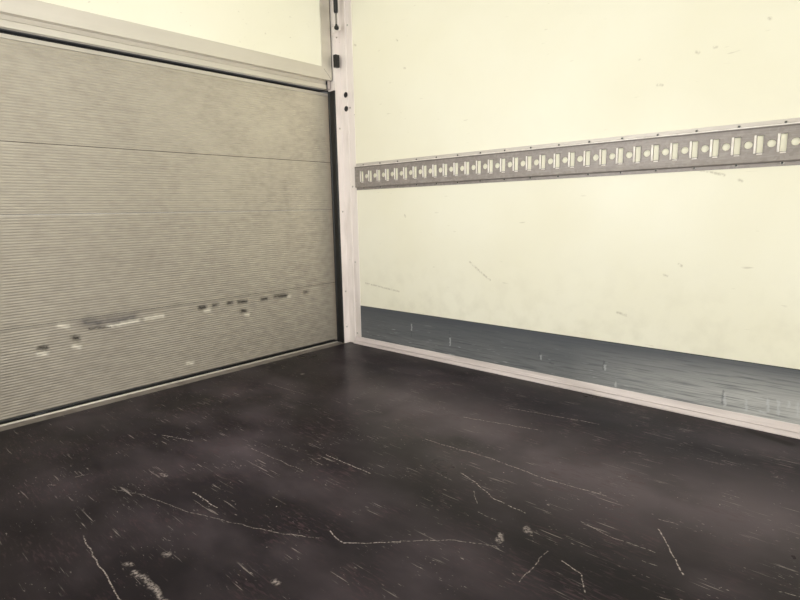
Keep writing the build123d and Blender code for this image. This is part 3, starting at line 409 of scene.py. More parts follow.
finishes = {
    "laminate": makeLaminate(),
    "floor": makeFilmFloor(),
    "zinc": makeZinc(),
    "kick": makeKickSheet(),
    "deck": makeDeck(),
    # mill-finish aluminium extrusion: soft die lines along its length, lightly tarnished
    "profile": makeCoat(
        "millFinishAluminium", "#D8D2C8", [("#C9C2B6", 1, (120, 0.4, 0.7, 5, (6, 6, 1)))], (0.36, 0.5),
        (3, 0.4, 0.6, 2, (60, 60, 1)), 0.03, 0.55,
    ),
    # pale grey powder coat over steel: half gloss with a fine orange peel, rubbed and chipped by loads
    "portal": makeCoat(
        "powderCoatedSteel", "#ECE3DE",
        [("#CFC5BE", 0.7, (50, 0.5, 0.72, 5, (1, 1, 5))), ("#7A736E", 0.8, (8, 0.75, 0.78, 2, (1, 1, 2)))],
        (0.34, 0.5), (3, 0.2, 0.8, 2), 0.03,
    ),
    # the same coat low down, darker and greyer, with paler streaks along its length
    "trim": makeCoat(
        "darkerPowderCoat", "#D3C8C5",
        [("#B8ADA9", 1, (40, 0.4, 0.75, 5, (1, 8, 1))), ("#E0D6D2", 0.6, (9, 0.55, 0.7, 3, (1, 30, 1)))], (0.35, 0.5),
    ),
}
for finish, *values in (
    # finish, material, main and other tone, roughness, metallic, patches, grain and its depth in mm
    ("rubber", "blackRubber", "#0D0D0E", "#171718", 0.36),  # extruded: dense black, a soft sheen
    ("chassis", "chassisPaint", "#2B2E31", "#43423F", 0.42, 0, 160),  # sprayed: dark grey, dusty
    ("strut", "blackEnamel", "#111113", "#1A1A1C", 0.28),  # baked: glossy black
    ("chrome", "hardChrome", "#C8CACC", "#B8BABD", 0.15, 1),  # ground and plated: a bright mirror
    ("nitrided", "nitridedSteel", "#8F8B84", "#7D7973", 0.34, 0.5),  # ground: warm grey, satin
    ("jointGrime", "grimyJoint", "#4B453D", "#3A352F", 0.7),  # packed dirt: brown and dull
    ("sill", "grimyAluminium", "#877F79", "#756D68", 0.5, 0.3, 60),  # walked on: darkened and dulled
    ("cap", "greyPolyamide", "#B9ADA8", "#A89C97", 0.5),  # moulded: pale and matt
    ("wornZinc", "paintedHighlightZinc", "#F2ECE6", "#E0D9D2", 0.38, 0.15, 25),  # pale zinc: painted highlight on the rail lips and ridges
    ("bolt", "zincPlatedSteel", "#B9B6AE", "#99958C", 0.32, 0.9, 12),  # plated: clear grey metal
    ("plastic", "blackPolypropylene", "#1C1D1E", "#28292A", 0.45, 0, 60, 1.2, 0.05),  # moulded: fine grain
    ("red", "redLens", "#A31412", "#8A0F0E", 0.12),  # moulded acrylic: clear gloss, as the next two
    ("amber", "amberLens", "#D87A12", "#C06A0C", 0.12),
    ("clear", "clearLens", "#D9DADA", "#C6C8C9", 0.1),
    ("roof", "polyesterSheet", "#E9E9E1", "#E3E4DB", 0.45, 0, 300, 6, 0.1),  # rolled: milky, softly rippled
):
    finishes[finish] = makePlain(*values)
# the finishes of each slot of the record, its CAD nodes' own first
finishesOf = {
    "painted_steel_dark": ("chassis",), "galvanised_steel": ("zinc", "kick", "bolt", "wornZinc"),
    "portal_paint": ("portal", "trim"), "wall_laminate": ("laminate",), "roof_laminate": ("roof",),
    "aluminium_profile": ("profile", "sill"), "platform_aluminium": ("deck", "jointGrime"),
    "phenolic_floor": ("floor",), "rubber": ("rubber", "plastic", "cap"), "strut_black": ("strut",),
    "chrome_rod": ("chrome",), "lamp_lens": ("red", "amber", "clear"),
}


def paint(piece, finish):
    piece.data.materials.clear()
    piece.data.materials.append(finishes[finish])


for part in frame["record"]["subparts"]:
    paint(nodes[part["node"]], finishesOf[part["material_slot"]][0])
for node, finish in (
    ("floor_trims", "trim"), ("rear_sill", "sill"), ("post_strut_brackets", "portal"),
    ("strut_rod_left", "nitrided"), ("strut_rod_right", "nitrided"),
):
    paint(nodes[node], finish)
print("finishes on the CAD nodes")


# Modelling helpers: each leaves its piece at the origin, with its place in its mesh

def startFresh():
    # leaves edit mode, and nothing stays selected, so that an operator acts on the new piece alone
    if bpy.context.mode != "OBJECT":
        bpy.ops.object.mode_set(mode="OBJECT")
    bpy.ops.object.select_all(action="DESELECT")


def settle(name):
    # names the new primitive and moves its place into its mesh
    piece = bpy.context.object
    piece.name = name
    bpy.context.view_layer.update()
    piece.data.transform(piece.matrix_world)
    piece.matrix_world = Matrix.Identity(4)
    return piece


def addBlock(name, low, high):
    startFresh()
    low, high = Vector(low), Vector(high)
    bpy.ops.mesh.primitive_cube_add(size=1, location=(low + high) / 2, scale=high - low)
    return settle(name)


def makeActive(piece):
    startFresh()
    piece.select_set(True)
    bpy.context.view_layer.objects.active = piece


def choose(piece, kind, test):
    # in edit mode, selects the faces whose middle and normal pass the test, or the edges by middle and direction
    makeActive(piece)
    bpy.ops.object.mode_set(mode="EDIT")
    bpy.ops.mesh.select_mode(type=kind)
    bpy.ops.mesh.select_all(action="DESELECT")
    bpy.ops.object.mode_set(mode="OBJECT")
    mesh = piece.data
    if kind == "FACE":
        for face in mesh.polygons:
            face.select = test(face.center, face.normal)
    else:
        for edge in mesh.edges:
            a, b = (mesh.vertices[i].co for i in edge.vertices)
            edge.select = test((a + b) / 2, (b - a).normalized())
    bpy.ops.object.mode_set(mode="EDIT")


def extrude(x, y, z):
    bpy.ops.mesh.extrude_region_move(TRANSFORM_OT_translate={"value": (x * mm, y * mm, z * mm)})


def finishEdit(piece):
    # merges doubles and turns the faces outwards
    makeActive(piece)
    bpy.ops.object.mode_set(mode="EDIT")
    bpy.ops.mesh.select_all(action="SELECT")
    bpy.ops.mesh.remove_doubles(threshold=0.01 * mm)
    bpy.ops.mesh.normals_make_consistent(inside=False)
    bpy.ops.object.mode_set(mode="OBJECT")
    return piece


def useModifier(piece, kind, **settings):
    makeActive(piece)
    bpy.ops.object.modifier_add(type=kind)
    modifier = piece.modifiers[-1]
    for name, value in settings.items():
        setattr(modifier, name, value)
    bpy.ops.object.modifier_apply(modifier=modifier.name)
    return piece


def row(piece, count, step, **settings):
    # repeats the piece count times, a step apart in metres
    settings.update(use_relative_offset=False, use_constant_offset=True, constant_offset_displace=step)
    return useModifier(piece, "ARRAY", count=count, **settings)


def bothSides(piece):
    # mirrors the piece to the other side of the body
    useModifier(piece, "MIRROR", use_axis=(True, False, False), use_mirror_merge=False)
    return finishEdit(piece)


def joinAll(name, pieces):
    startFresh()
    for piece in pieces:
        piece.select_set(True)
    bpy.context.view_layer.objects.active = pieces[0]
    bpy.ops.object.join()
    pieces[0].name = name
    return pieces[0]


def copyTo(piece, moves):
    # copies the piece by each move, each copy with its own mesh, and joins them
    group = [piece]
    for move in moves:
        makeActive(piece)
        bpy.ops.object.duplicate()
        bpy.context.object.data.transform(Matrix.Translation(move))
        group.append(bpy.context.object)
    return joinAll(piece.name, group)


def turned(name, rings, place, towards, sides=16):
    # a turned shape: a disc drawn up ring by ring; rings are (height, radius) in mm
    startFresh()
    height, radius = rings[0]
    bottom = (0, 0, height * mm)
    bpy.ops.mesh.primitive_circle_add(vertices=sides, radius=radius * mm, fill_type="NGON", location=bottom)
    piece = settle(name)
    bpy.ops.object.mode_set(mode="EDIT")
    bpy.ops.mesh.select_mode(type="FACE")
    bpy.ops.mesh.select_all(action="SELECT")
    for nextHeight, nextRadius in rings[1:]:
        extrude(0, 0, nextHeight - height)
        share = nextRadius / radius
        bpy.ops.transform.resize(value=(share, share, 1), center_override=(0, 0, nextHeight * mm))
        height, radius = nextHeight, nextRadius
    startFresh()
    turn = Vector(towards).to_track_quat("Z", "Y").to_matrix().to_4x4()
    piece.data.transform(Matrix.Translation(place) @ turn)
    return finishEdit(piece)


def softenEdges(piece, widthMm, segments=2):
    return useModifier(piece, "BEVEL", width=widthMm * mm, segments=segments, limit_method="ANGLE", angle_limit=0.6)


def pushIn(piece, test, rimMm, x, y, z):
    # insets the chosen faces and moves them, in mm
    choose(piece, "FACE", test)
    bpy.ops.mesh.inset(thickness=rimMm * mm)
    extrude(x, y, z)
    startFresh()
    return piece


def dress(piece, finish, body="box", smooth=None):
    makeActive(piece)
    if smooth is not None:
        bpy.ops.object.shade_smooth_by_angle(angle=smooth)
    paint(piece, finish)
    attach(piece, body)
    return piece


def addStrip(name, low, high, softMm, finish, body="box", segments=2, smooth=0.6, mirrored=True):
    # a block with soft edges, on both sides of the body unless told otherwise
    piece = softenEdges(addBlock(name, low, high), softMm, segments)
    return dress(bothSides(piece) if mirrored else piece, finish, body, smooth)


# Lashing rails: pressed hat sections with slots and round holes, riveted to the walls
lashingRail = {
    "web": 1.088, "mid": 0.898, "firstSlot": -1.95, "slots": 67, "pitch": 60, "halfWeb": 48.5,
    "slotAt": 15, "slotWide": 18, "slotHigh": 55, "clearShare": 0.93,
    "holeAt": 45, "holeRadius": 12.2, "sheet": 1.5,
    # the bend from the web to the flange: (towards the wall, away from the web's edge)
    "bend": ((-1, 2.6), (-0.9, 3.6), (1.6, 6), (9, 7.2), (10.4, 8.6), (10.4, 19.5)),
    "rivetUp": 58.5, "rivets": (
        ("railRivets", ((0, 5.6), (0.9, 5.3), (1.6, 4), (1.7, 2.2), (1, 1.8)), 8, "bolt"),
        ("railRivetShadeDots", ((1.2, 3.9), (1.75, 3.6)), 6, "strut"),
    ),
    "packing": 4, "packingUp": 42, "packingIn": 2, "ridge": (50.4, 54.6, 1.9),
    # raised lips of a slot: (across low, across high, up low, up high, proud) from its middle
    "lips": (
        ("railLipsLit", "wornZinc", ((-15.5, -9.2, -27, 27, 2.4), (-7, 8, -31, -27.6, 1.2))),
        ("railLips", "zinc", ((9.2, 12.6, -27, 27, 1.6),)),
    ),
}


def makeLashingRails():
    r = lashingRail
    x = -r["web"]
    midZ = floorTop + r["mid"]
    startY = r["firstSlot"] - r["slotAt"] * mm
    step = (0, r["pitch"] * mm, 0)
    startFresh()
    middle = (x, startY + r["pitch"] / 2 * mm, midZ)
    bpy.ops.mesh.primitive_plane_add(size=1, location=middle, rotation=(0, pi / 2, 0))
    bpy.context.object.scale = (2 * r["halfWeb"] * mm, r["pitch"] * mm, 1)
    piece = settle("lashingRails")
    slotLow = startY + (r["slotAt"] - r["slotWide"] / 2) * mm
    slotHigh = startY + (r["slotAt"] + r["slotWide"] / 2) * mm
    halfSlot = r["slotHigh"] / 2 * mm
    bpy.ops.object.mode_set(mode="EDIT")
    for point, normal in (
        ((0, slotLow, 0), (0, 1, 0)), ((0, slotHigh, 0), (0, 1, 0)),
        ((0, 0, midZ - halfSlot), (0, 0, 1)), ((0, 0, midZ + halfSlot), (0, 0, 1)),
    ):
        bpy.ops.mesh.select_all(action="SELECT")
        bpy.ops.mesh.bisect(plane_co=point, plane_no=normal)
    choose(piece, "FACE", lambda at, normal: at.y > slotLow and abs(at.z - midZ) < halfSlot)
    bpy.ops.mesh.delete(type="ONLY_FACE")
    hole = Vector((x, startY + r["holeAt"] * mm, midZ))
    bpy.ops.mesh.primitive_circle_add(vertices=12, radius=r["holeRadius"] * mm, location=hole, rotation=(0, pi / 2, 0))
    nearHole = (r["holeRadius"] + 1) * mm
    choose(piece, "EDGE", lambda at, along: at.y > slotHigh - mm / 10 and abs(at.z - midZ) < halfSlot + mm / 10)
    bpy.ops.mesh.bridge_edge_loops()
    slot = Vector((x, startY + r["slotAt"] * mm, midZ))

    def roundSlot(at, along):
        y, z = abs(at.y - slot.y), abs(at.z - midZ)
        half = r["slotWide"] / 2 * mm
        onSide = abs(y - half) < mm / 10 and z < halfSlot - mm
        onEnd = abs(z - halfSlot) < mm / 10 and y < half - mm
        return at.x > x - mm / 10 and (onSide or onEnd)

    # pressed lips round the hole and the slot
    for test, middle, steps in (
        (lambda at, along: (at - hole).length < nearHole, hole, ((1, 0.95), (1.5, 1))),
        (roundSlot, slot, ((1.2, r["clearShare"]), (1.6, 1))),
    ):
        choose(piece, "EDGE", test)
        for depth, share in steps:
            extrude(-depth, 0, 0)
            bpy.ops.transform.resize(value=(1, share, share), center_override=middle)
    for sign in (-1, 1):
        choose(piece, "EDGE", lambda at, along: abs(at.z - midZ - sign * r["halfWeb"] * mm) < mm / 10)
        last = (0, 0)
        for back, up in r["bend"]:
            extrude(last[0] - back, 0, sign * (up - last[1]))
            last = (back, up)
    row(piece, r["slots"], step, use_merge_vertices=True, merge_threshold=mm / 20)
    railLow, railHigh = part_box("lashing_rails")
    endY = startY + r["slots"] * r["pitch"] * mm
    for edgeY, toY in ((startY, railLow.y), (endY, railHigh.y)):
        choose(piece, "EDGE", lambda at, along: abs(at.y - edgeY) < mm / 10 and abs(along.y) < 0.5)
        extrude(0, (toY - edgeY) / mm, 0)
    useModifier(piece, "SOLIDIFY", thickness=r["sheet"] * mm, offset=-1)
    bothSides(piece)
    dress(piece, "zinc", smooth=0.5)
    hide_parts("lashing_rails")
    # rivets in the flanges, each with a dark dot of painted shade in its hollow head
    place = (x - r["bend"][-1][0] * mm, r["firstSlot"], midZ - r["rivetUp"] * mm)
    for name, rings, sides, finish in r["rivets"]:
        rivet = row(turned(name, rings, place, (1, 0, 0), sides), (r["slots"] + 1) // 2, (0, 2 * r["pitch"] * mm, 0))
        copyTo(rivet, [(0, 0, 2 * r["rivetUp"] * mm)])
        dress(bothSides(rivet), finish)
    # laminate packing that fills the rail behind its web
    lowY, highY = railLow.y + r["packingIn"] * mm, railHigh.y - r["packingIn"] * mm
    up = r["packingUp"] * mm
    addStrip("railPacking", (-wallX, lowY, midZ - up), (x - r["packing"] * mm, highY, midZ + up), 1.5, "laminate")
    # painted highlight: a pale rolled edge along the upper bend
    low, high, proud = (value * mm for value in r["ridge"])
    corners = (x - 1.5 * mm, railLow.y, midZ + low), (x + proud, railHigh.y, midZ + high)
    addStrip("railRidges", *corners, 0.7, "wornZinc", smooth=0.7)
    # raised lips beside each slot; the rear and the lower one pale as painted highlight
    for name, finish, shapes in r["lips"]:
        lips = []
        for y0, y1, z0, z1, proud in shapes:
            low = (x - mm, r["firstSlot"] + y0 * mm, midZ + z0 * mm)
            high = (x + proud * mm, r["firstSlot"] + y1 * mm, midZ + z1 * mm)
            lips.append(softenEdges(addBlock(name, low, high), proud * 0.45))
        dress(bothSides(row(joinAll(name, lips), r["slots"], step)), finish, smooth=0.7)


makeLashingRails()
print("lashing rails")

# Kick plates: thin sheets, buckled and dented by pallets
kickPlate = {
    "alongCuts": 360, "upCuts": 14, "sheet": 1.2, "wave": 0.9, "edgeWave": 2.2, "stand": 0.8, "least": 0.7,
    # dents: (along the body, height over the floor, half length, half height, depth in mm)
    "dents": (
        (-0.246, 0.075, 5, 26, 2.2), (-0.186, 0.07, 5, 22, 2.6), (-0.126, 0.085, 4, 24, 2.4), (-0.15, 0.055, 6, 8, 2),
        (-0.06, 0.075, 5, 26, 2), (-0.62, 0.11, 6, 22, 1.6), (-1.05, 0.1, 7, 20, 1.4), (-1.4, 0.12, 8, 16, 1.4),
        (0.3, 0.08, 6, 24, 2.2), (0.75, 0.09, 6, 20, 2), (1.3, 0.07, 8, 22, 2), (1.75, 0.1, 6, 18, 1.6),
    ),
}


def makeKickPlates():
    k = kickPlate
    low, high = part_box("kick_plates")
    startFresh()
    cuts = {"x_subdivisions": k["upCuts"], "y_subdivisions": k["alongCuts"]}
    bpy.ops.mesh.primitive_grid_add(size=1, rotation=(0, pi / 2, 0), **cuts)
    piece = settle("kickPlates")
    x = low.x + k["stand"] * mm
    for vertex in piece.data.vertices:
        y = low.y + (vertex.co.y + 0.5) * (high.y - low.y)
        z = low.z + (vertex.co.z + 0.5) * (high.z - low.z)
        up = vertex.co.z + 0.5
        swell = noise.noise((y * 6, z * 14, 3.1)) * k["wave"] + noise.noise((y * 22, z * 30, 7.7)) * k["wave"] * 0.5
        swell += max(0, noise.noise((y * 3.3, 0.5, 1.9))) * k["edgeWave"] * up ** 4
        for dentY, dentZ, halfY, halfZ, depth in k["dents"]:
            away = ((y - dentY) / (halfY * mm)) ** 2 + ((z - floorTop - dentZ) / (halfZ * mm)) ** 2
            if away < 6:
                swell += depth * (0.5 * 2.718 ** (-away) - 2.718 ** (-away * 2.5))
        vertex.co = (x + max(swell + k["least"], 0) * mm, y, z)
    piece.data.update()
    useModifier(piece, "SOLIDIFY", thickness=k["sheet"] * mm, offset=-1)
    bothSides(piece)
    dress(piece, "kick", smooth=0.9)
    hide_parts("kick_plates")


makeKickPlates()
print("kick plates")

# Plugs and screws on the posts and on the strips beside them
plug = ((0, 14), (1, 14), (2, 13), (2.2, 10.5), (1, 9.4), (0.9, 1))
screw = ((0, 4.6), (1, 4.5), (1.9, 3.2), (2.1, 1.5), (1.2, 1))
postFittings = (
    # name, rings, place across and along, direction, sides, heights over the floor, finish, smooth
    ("postPlugs", plug, (-1.091, -2.057), (1, 0, 0), 20, (1.247, 1.316), "strut", 0.6),
    ("portalScrews", screw, (-1.075, -2.095), (0, 1, 0), 10, (0.089, 0.287, 0.72, 1.15, 1.6, 2.05), "bolt", None),
    ("stripScrews", screw, (-1.097, -2.034), (1, 0, 0), 10, (0.057, 0.45, 0.85, 1.25, 1.65, 2.05), "bolt", None),
)
for name, rings, spot, towards, sides, heights, finish, smooth in postFittings:
    fitting = turned(name, rings, (*spot, floorTop + heights[0]), towards, sides)
    copyTo(fitting, [(0, 0, height - heights[0]) for height in heights[1:]])
    dress(bothSides(fitting), finish, smooth=smooth)

# Gas struts: moulded end sockets on the rods and guide rings under the barrels
strutEnds = {
    "x": 1.0365, "y": -2.05,
    "socket": ((0, 6.2), (3, 7.2), (8, 7.2), (11, 6.4), (16, 5)), "socketFrom": 0.009,
    "ball": ((-8.6, 6.5), (-8.2, 8.2), (-6, 9.4), (6, 9.4), (8.6, 8), (9.4, 5.5)), "ballUp": 0.0075,
    "guide": ((0, 7), (1.5, 8.2), (4, 8.6), (6.5, 10.6)), "guideFrom": 0.0065,
}


def makeStrutEnds():
    s = strutEnds
    rodLow, barrelLow = (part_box("strut_%s_left" % part)[0].z for part in ("rod", "barrel"))
    for side, sign in (("Left", -1), ("Right", 1)):
        x = sign * s["x"]
        socket = turned("strutSocket" + side, s["socket"], (x, s["y"], rodLow + s["socketFrom"]), (0, 0, 1), 16)
        ball = turned("ball", s["ball"], (x, s["y"], rodLow + s["ballUp"]), (-sign, 0, 0), 20)
        dress(joinAll(socket.name, [socket, ball]), "strut", "strut_rod_" + side.lower(), 0.6)
        guide = turned("strutGuide" + side, s["guide"], (x, s["y"], barrelLow - s["guideFrom"]), (0, 0, 1), 20)
        dress(guide, "strut", "strut_barrel_" + side.lower(), 0.6)


makeStrutEnds()
print("post fittings and strut ends")

# Flap: glazing bead round the inner side of the panel, mitres, seals and moulded ends
flapTrim = {
    "beadWide": 11, "beadProud": 3.6, "beadSoft": 2.4, "mitreWide": 1.2, "mitreProud": 0.25,
    "sealEnd": 58, "sealIn": 6, "finWide": 6.5, "finRear": 4, "finFront": 3,
    # moulded caps: (x, y, z) of the low and the high corner on the right
    "capLow": (1.030, -2.1605, 1.5665), "capHigh": (1.0512, -2.1268, 1.6535), "capSoft": 3, "capSeam": 1.4,
}


def makeFlapTrim():
    f = flapTrim
    low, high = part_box("flap_panel")
    face = high.y
    bead = addBlock("flapBead", (low.x, face, low.z), (high.x, face + f["beadProud"] * mm, high.z))
    choose(bead, "FACE", lambda at, normal: abs(normal.y) > 0.9)
    bpy.ops.mesh.inset(thickness=f["beadWide"] * mm, use_individual=True)
    bpy.ops.mesh.bridge_edge_loops()
    inside = (f["beadWide"] - 0.5) * mm  # just outside the bead's inner edges

    def innerFront(at, along):
        within = abs(at.x) < high.x - inside and low.z + inside < at.z < high.z - inside
        return abs(along.y) < 0.5 and at.y > face + mm and within

    choose(bead, "EDGE", innerFront)
    bpy.ops.mesh.bevel(offset=f["beadSoft"] * mm, segments=3)
    dress(finishEdit(bead), "profile", "flap")
    # painted shade: thin black strips in the open joints of the mitred corners
    frameLow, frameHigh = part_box("flap_frame")
    seams = []
    for sideX, innerX in ((frameLow.x, low.x), (frameHigh.x, high.x)):
        for sideZ, innerZ in ((frameLow.z, low.z), (frameHigh.z, high.z)):
            start, end = Vector((sideX, frameHigh.y, sideZ)), Vector((innerX, frameHigh.y, innerZ))
            corner = Vector(((end - start).length / 2, f["mitreProud"] * mm, f["mitreWide"] / 2 * mm))
            seam = addBlock("flapMitres", -corner, corner)
            turn = (end - start).to_track_quat("X", "Z").to_matrix().to_4x4()
            seam.data.transform(Matrix.Translation((start + end) / 2) @ turn)
            seams.append(seam)
    dress(finishEdit(joinAll("flapMitres", seams)), "strut", "flap")
    # rubber ends that carry the drip seal past the posts
    sealLow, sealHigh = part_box("flap_seal")
    start = (-sealHigh.x - f["sealEnd"] * mm, sealLow.y, sealLow.z)
    end = (mm - sealHigh.x, sealHigh.y - f["sealIn"] * mm, sealHigh.z)
    addStrip("flapSealEnds", start, end, 3, "rubber", "flap")
    # rubber fins that close the gap between the flap and the posts
    start = (-frameHigh.x - f["finWide"] * mm, frameLow.y + f["finRear"] * mm, frameLow.z)
    end = (0.5 * mm - frameHigh.x, frameHigh.y - f["finFront"] * mm, frameHigh.z)
    addStrip("flapSideFins", start, end, 1, "rubber", "flap")
    # moulded caps on the ends of the closing profile, each with a black strip of painted shade in the open seam at its
    # inner edge
    addStrip("flapEndCaps", f["capLow"], f["capHigh"], f["capSoft"], "cap", "flap", 3)
    (x, y, z), (endX, endY, endZ) = f["capLow"], f["capHigh"]
    start, end = (x - f["capSeam"] * mm, y, z), (x + mm, endY - mm, endZ - mm)
    addStrip("flapCapSeams", start, end, 0.5, "strut", "flap", smooth=None)


makeFlapTrim()
print("flap trim")

# Platform: dark joints between the planks
plankJoints = {"heights": (0.333, 0.733, 0.982), "wide": 2, "proud": 0.9, "deep": 4}
low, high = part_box("platform_planks")
half, proud = plankJoints["wide"] / 2 * mm, plankJoints["proud"] * mm
joints = []
for height in plankJoints["heights"]:
    z = floorTop + height
    start = (low.x, high.y - plankJoints["deep"] * mm, z - half)
    joints.append(addBlock("plankJoints", start, (high.x, high.y + proud, z + half)))
dress(softenEdges(joinAll("plankJoints", joints), 0.2, 1), "jointGrime", "platform")

# Sill: bright edge strip between the sill and its seal
sillEdge = {"seen": 9, "overSeal": 11, "proud": 2, "footHigh": 7, "footDeep": 12, "footIn": 2}
sealLow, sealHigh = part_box("sill_seal")
rear = sealLow.y + sillEdge["overSeal"] * mm
end = (sealHigh.x, rear + sillEdge["seen"] * mm, sealHigh.z + sillEdge["proud"] * mm)
addStrip("sillEdge", (sealLow.x, rear, floorTop - mm), end, 0.8, "profile", mirrored=False)
# black strip along the foot of the platform
plankLow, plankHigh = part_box("platform_planks")
start = (sealLow.x, plankHigh.y - sillEdge["footIn"] * mm, plankLow.z + mm)
end = (sealHigh.x, plankHigh.y + sillEdge["footDeep"] * mm, plankLow.z + sillEdge["footHigh"] * mm)
addStrip("platformFootStrip", start, end, 0.8, "rubber", "platform", mirrored=False)

# Ridge along the sloped face of the floor trims
trimRidge = {"in": 15.6, "up": 17.4, "half": 2, "soft": 1.3, "short": 2}
low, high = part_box("floor_trims")
x, z, half = trimRidge["in"] * mm - wallX, floorTop + trimRidge["up"] * mm, trimRidge["half"] * mm
start = (x - half, low.y + trimRidge["short"] * mm, z - half)
end = (x + half, high.y - trimRidge["short"] * mm, z + half)
addStrip("trimRidges", start, end, trimRidge["soft"], "trim", segments=3, smooth=0.7)

# Black strip along the upper edge of the kick plates: sealant, and painted shade of the gap behind that edge
kickSealantAndShade = {"high": 2.6, "thick": 2.4, "out": 2, "lap": 0.4}
low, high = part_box("kick_plates")
x, z = low.x + kickSealantAndShade["out"] * mm, high.z - kickSealantAndShade["lap"] * mm
end = (x, high.y, z + kickSealantAndShade["high"] * mm)
addStrip("kickSealantAndShade", (x - kickSealantAndShade["thick"] * mm, low.y, z), end, 0.6, "rubber", segments=1, smooth=None)
print("joints and sealant")

# Rivets in the outer profiles
skinRivet = {"rings": ((0, 5.2), (1, 4.7), (1.9, 2.8), (2.2, 0.8)), "step": 0.15, "up": 0.03, "startY": -2}
step, startY = skinRivet["step"], skinRivet["startY"]
lowZ, highZ = floorTop + skinRivet["up"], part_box("top_rails")[0].z + 0.025
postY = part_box("front_corner_posts")[0].y + skinRivet["up"]
along, up = (0, step, 0), (0, 0, step)
left, front = (-1, 0, 0), (0, 1, 0)
for name, place, towards, count, move in (
    ("sideRivetsLow", (-outerX, startY, lowZ), left, 27, along),
    ("sideRivetsHigh", (-outerX, startY, highZ), left, 27, along),
    ("frontRivetsLow", (-6.5 * step, frontY, lowZ), front, 14, (step, 0, 0)),
    ("frontRivetsHigh", (-6.5 * step, frontY, highZ), front, 14, (step, 0, 0)),
    ("cornerRivetsSide", (-outerX, postY, lowZ), left, 15, up),
    ("cornerRivetsFront", (-wallX + 0.01, frontY, lowZ), front, 15, up),
    ("roofRivets", (-outerX + 0.02, startY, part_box("top_rails")[1].z), (0, 0, 1), 27, along),
):
    rivets = row(turned(name, skinRivet["rings"], place, towards, 8), count, move)
    dress(rivets if move[0] else bothSides(rivets), "bolt")
print("skin rivets")

# Lamps: three-field tail lamps on the underrun bars, small marker lamps
tailLamp = {
    "fields": (("red", 0, 0.42), ("amber", 0.42, 0.72), ("clear", 0.72, 1)),
    "long": 0.25, "rim": 7, "dish": 6, "soft": 4, "gap": 0.6, "bulge": 1.6,
}
markerLamp = {"rim": 4, "base": 3, "soft": 4.5, "rearOver": 2}


def solids(node):
    # the boxes of a node's separate blocks that lie on the -X side, as (low, high) corners
    mesh = nodes[node].data
    found = {}
    for face in mesh.polygons:
        if face.center.x < 0:
            key = tuple(round(c, 1) for c in face.center)
            found.setdefault(key, []).extend(mesh.vertices[i].co for i in face.vertices)
    groups = []
    for points in found.values():
        low = Vector([min(p[i] for p in points) for i in range(3)])
        high = Vector([max(p[i] for p in points) for i in range(3)])
        for group in groups:
            if all(low[i] <= group[1][i] + mm and high[i] >= group[0][i] - mm for i in range(3)):
                group[0] = Vector(map(min, group[0], low))
                group[1] = Vector(map(max, group[1], high))
                break
        else:
            groups.append([low, high])
    return groups


def makeTailLamps():
    t = tailLamp
    low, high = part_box("tail_lamps")
    inner = -high.x + t["long"]
    housing = softenEdges(addBlock("tailLampHousings", (-high.x, low.y, low.z), (inner, high.y, high.z)), 5)
    pushIn(housing, lambda at, normal: normal.y < -0.99, t["rim"], 0, t["dish"], 0)
    dress(bothSides(housing), "plastic", smooth=0.5)
    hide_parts("tail_lamps")
    startX, endX = -high.x + t["rim"] * mm, inner - t["rim"] * mm
    gap, edge = t["gap"] * mm, (t["rim"] + t["gap"]) * mm
    for colour, start, end in t["fields"]:
        left, right = (startX + (endX - startX) * share for share in (start, end))
        corners = (left + gap, low.y + 0.5 * mm, low.z + edge), (right - gap, low.y + t["dish"] * mm, high.z - edge)
        lens = addBlock("tailLens" + colour.capitalize(), *corners)
        pushIn(lens, lambda at, normal: normal.y < -0.99, t["soft"], 0, -t["bulge"], 0)
        dress(bothSides(softenEdges(lens, 1.2)), colour, smooth=0.6)


def makeMarkerLamps():
    m = markerLamp
    rim = Vector((m["rim"] * mm,) * 3)
    bases, lenses = [], {"red": [], "amber": []}
    for low, high in solids("marker_lamps"):
        # the upper ones face the rear, the others the side; out is the axis that the lamp faces along
        out, colour = (1, "red") if high.z > m["rearOver"] else (0, "amber")
        seat = high[out] - m["base"] * mm
        baseLow = low.copy()
        baseLow[out] = seat
        bases.append(softenEdges(addBlock("markerBase", baseLow, high), 1.2))
        lensLow, lensHigh = low + rim, high - rim
        lensLow[out], lensHigh[out] = low[out], seat
        lenses[colour].append(softenEdges(addBlock("markerLens", lensLow, lensHigh), m["soft"], 4))
    base = joinAll("markerLampBases", bases)
    dress(bothSides(base), "plastic", smooth=0.5)
    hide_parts("marker_lamps")
    for colour, group in lenses.items():
        dress(bothSides(joinAll("markerLenses" + colour.capitalize(), group)), colour, smooth=0.6)


makeTailLamps()
makeMarkerLamps()
print("lamps")

# Tail lift: bolts, pin plates and the cover of the power pack
liftBolts = {
    "hex": ((0, 13), (8.5, 13), (10, 11)), "washer": ((0, 17), (2.5, 17)), "plateX": 0.422,
    "plateSpots": ((-1.31, 0.04), (-1.42, 0.04), (-1.53, 0.04), (-1.31, 0.09), (-1.53, 0.09)),
    "pinCap": ((0, 21), (3.5, 21), (4.5, 19.5), (5, 9), (8.5, 8.6), (9, 4)),
    "tubePins": ((-1.6, -0.279), (-1.6, -0.389)), "pinX": 0.41,
    "hingeBolt": ((0, 7), (4, 7), (4.6, 6)), "hingeXs": (-0.78, 0, 0.78),
    "hingeAside": 0.0315, "hingeUps": (0.022, 0.048), "leaf": 4,
}


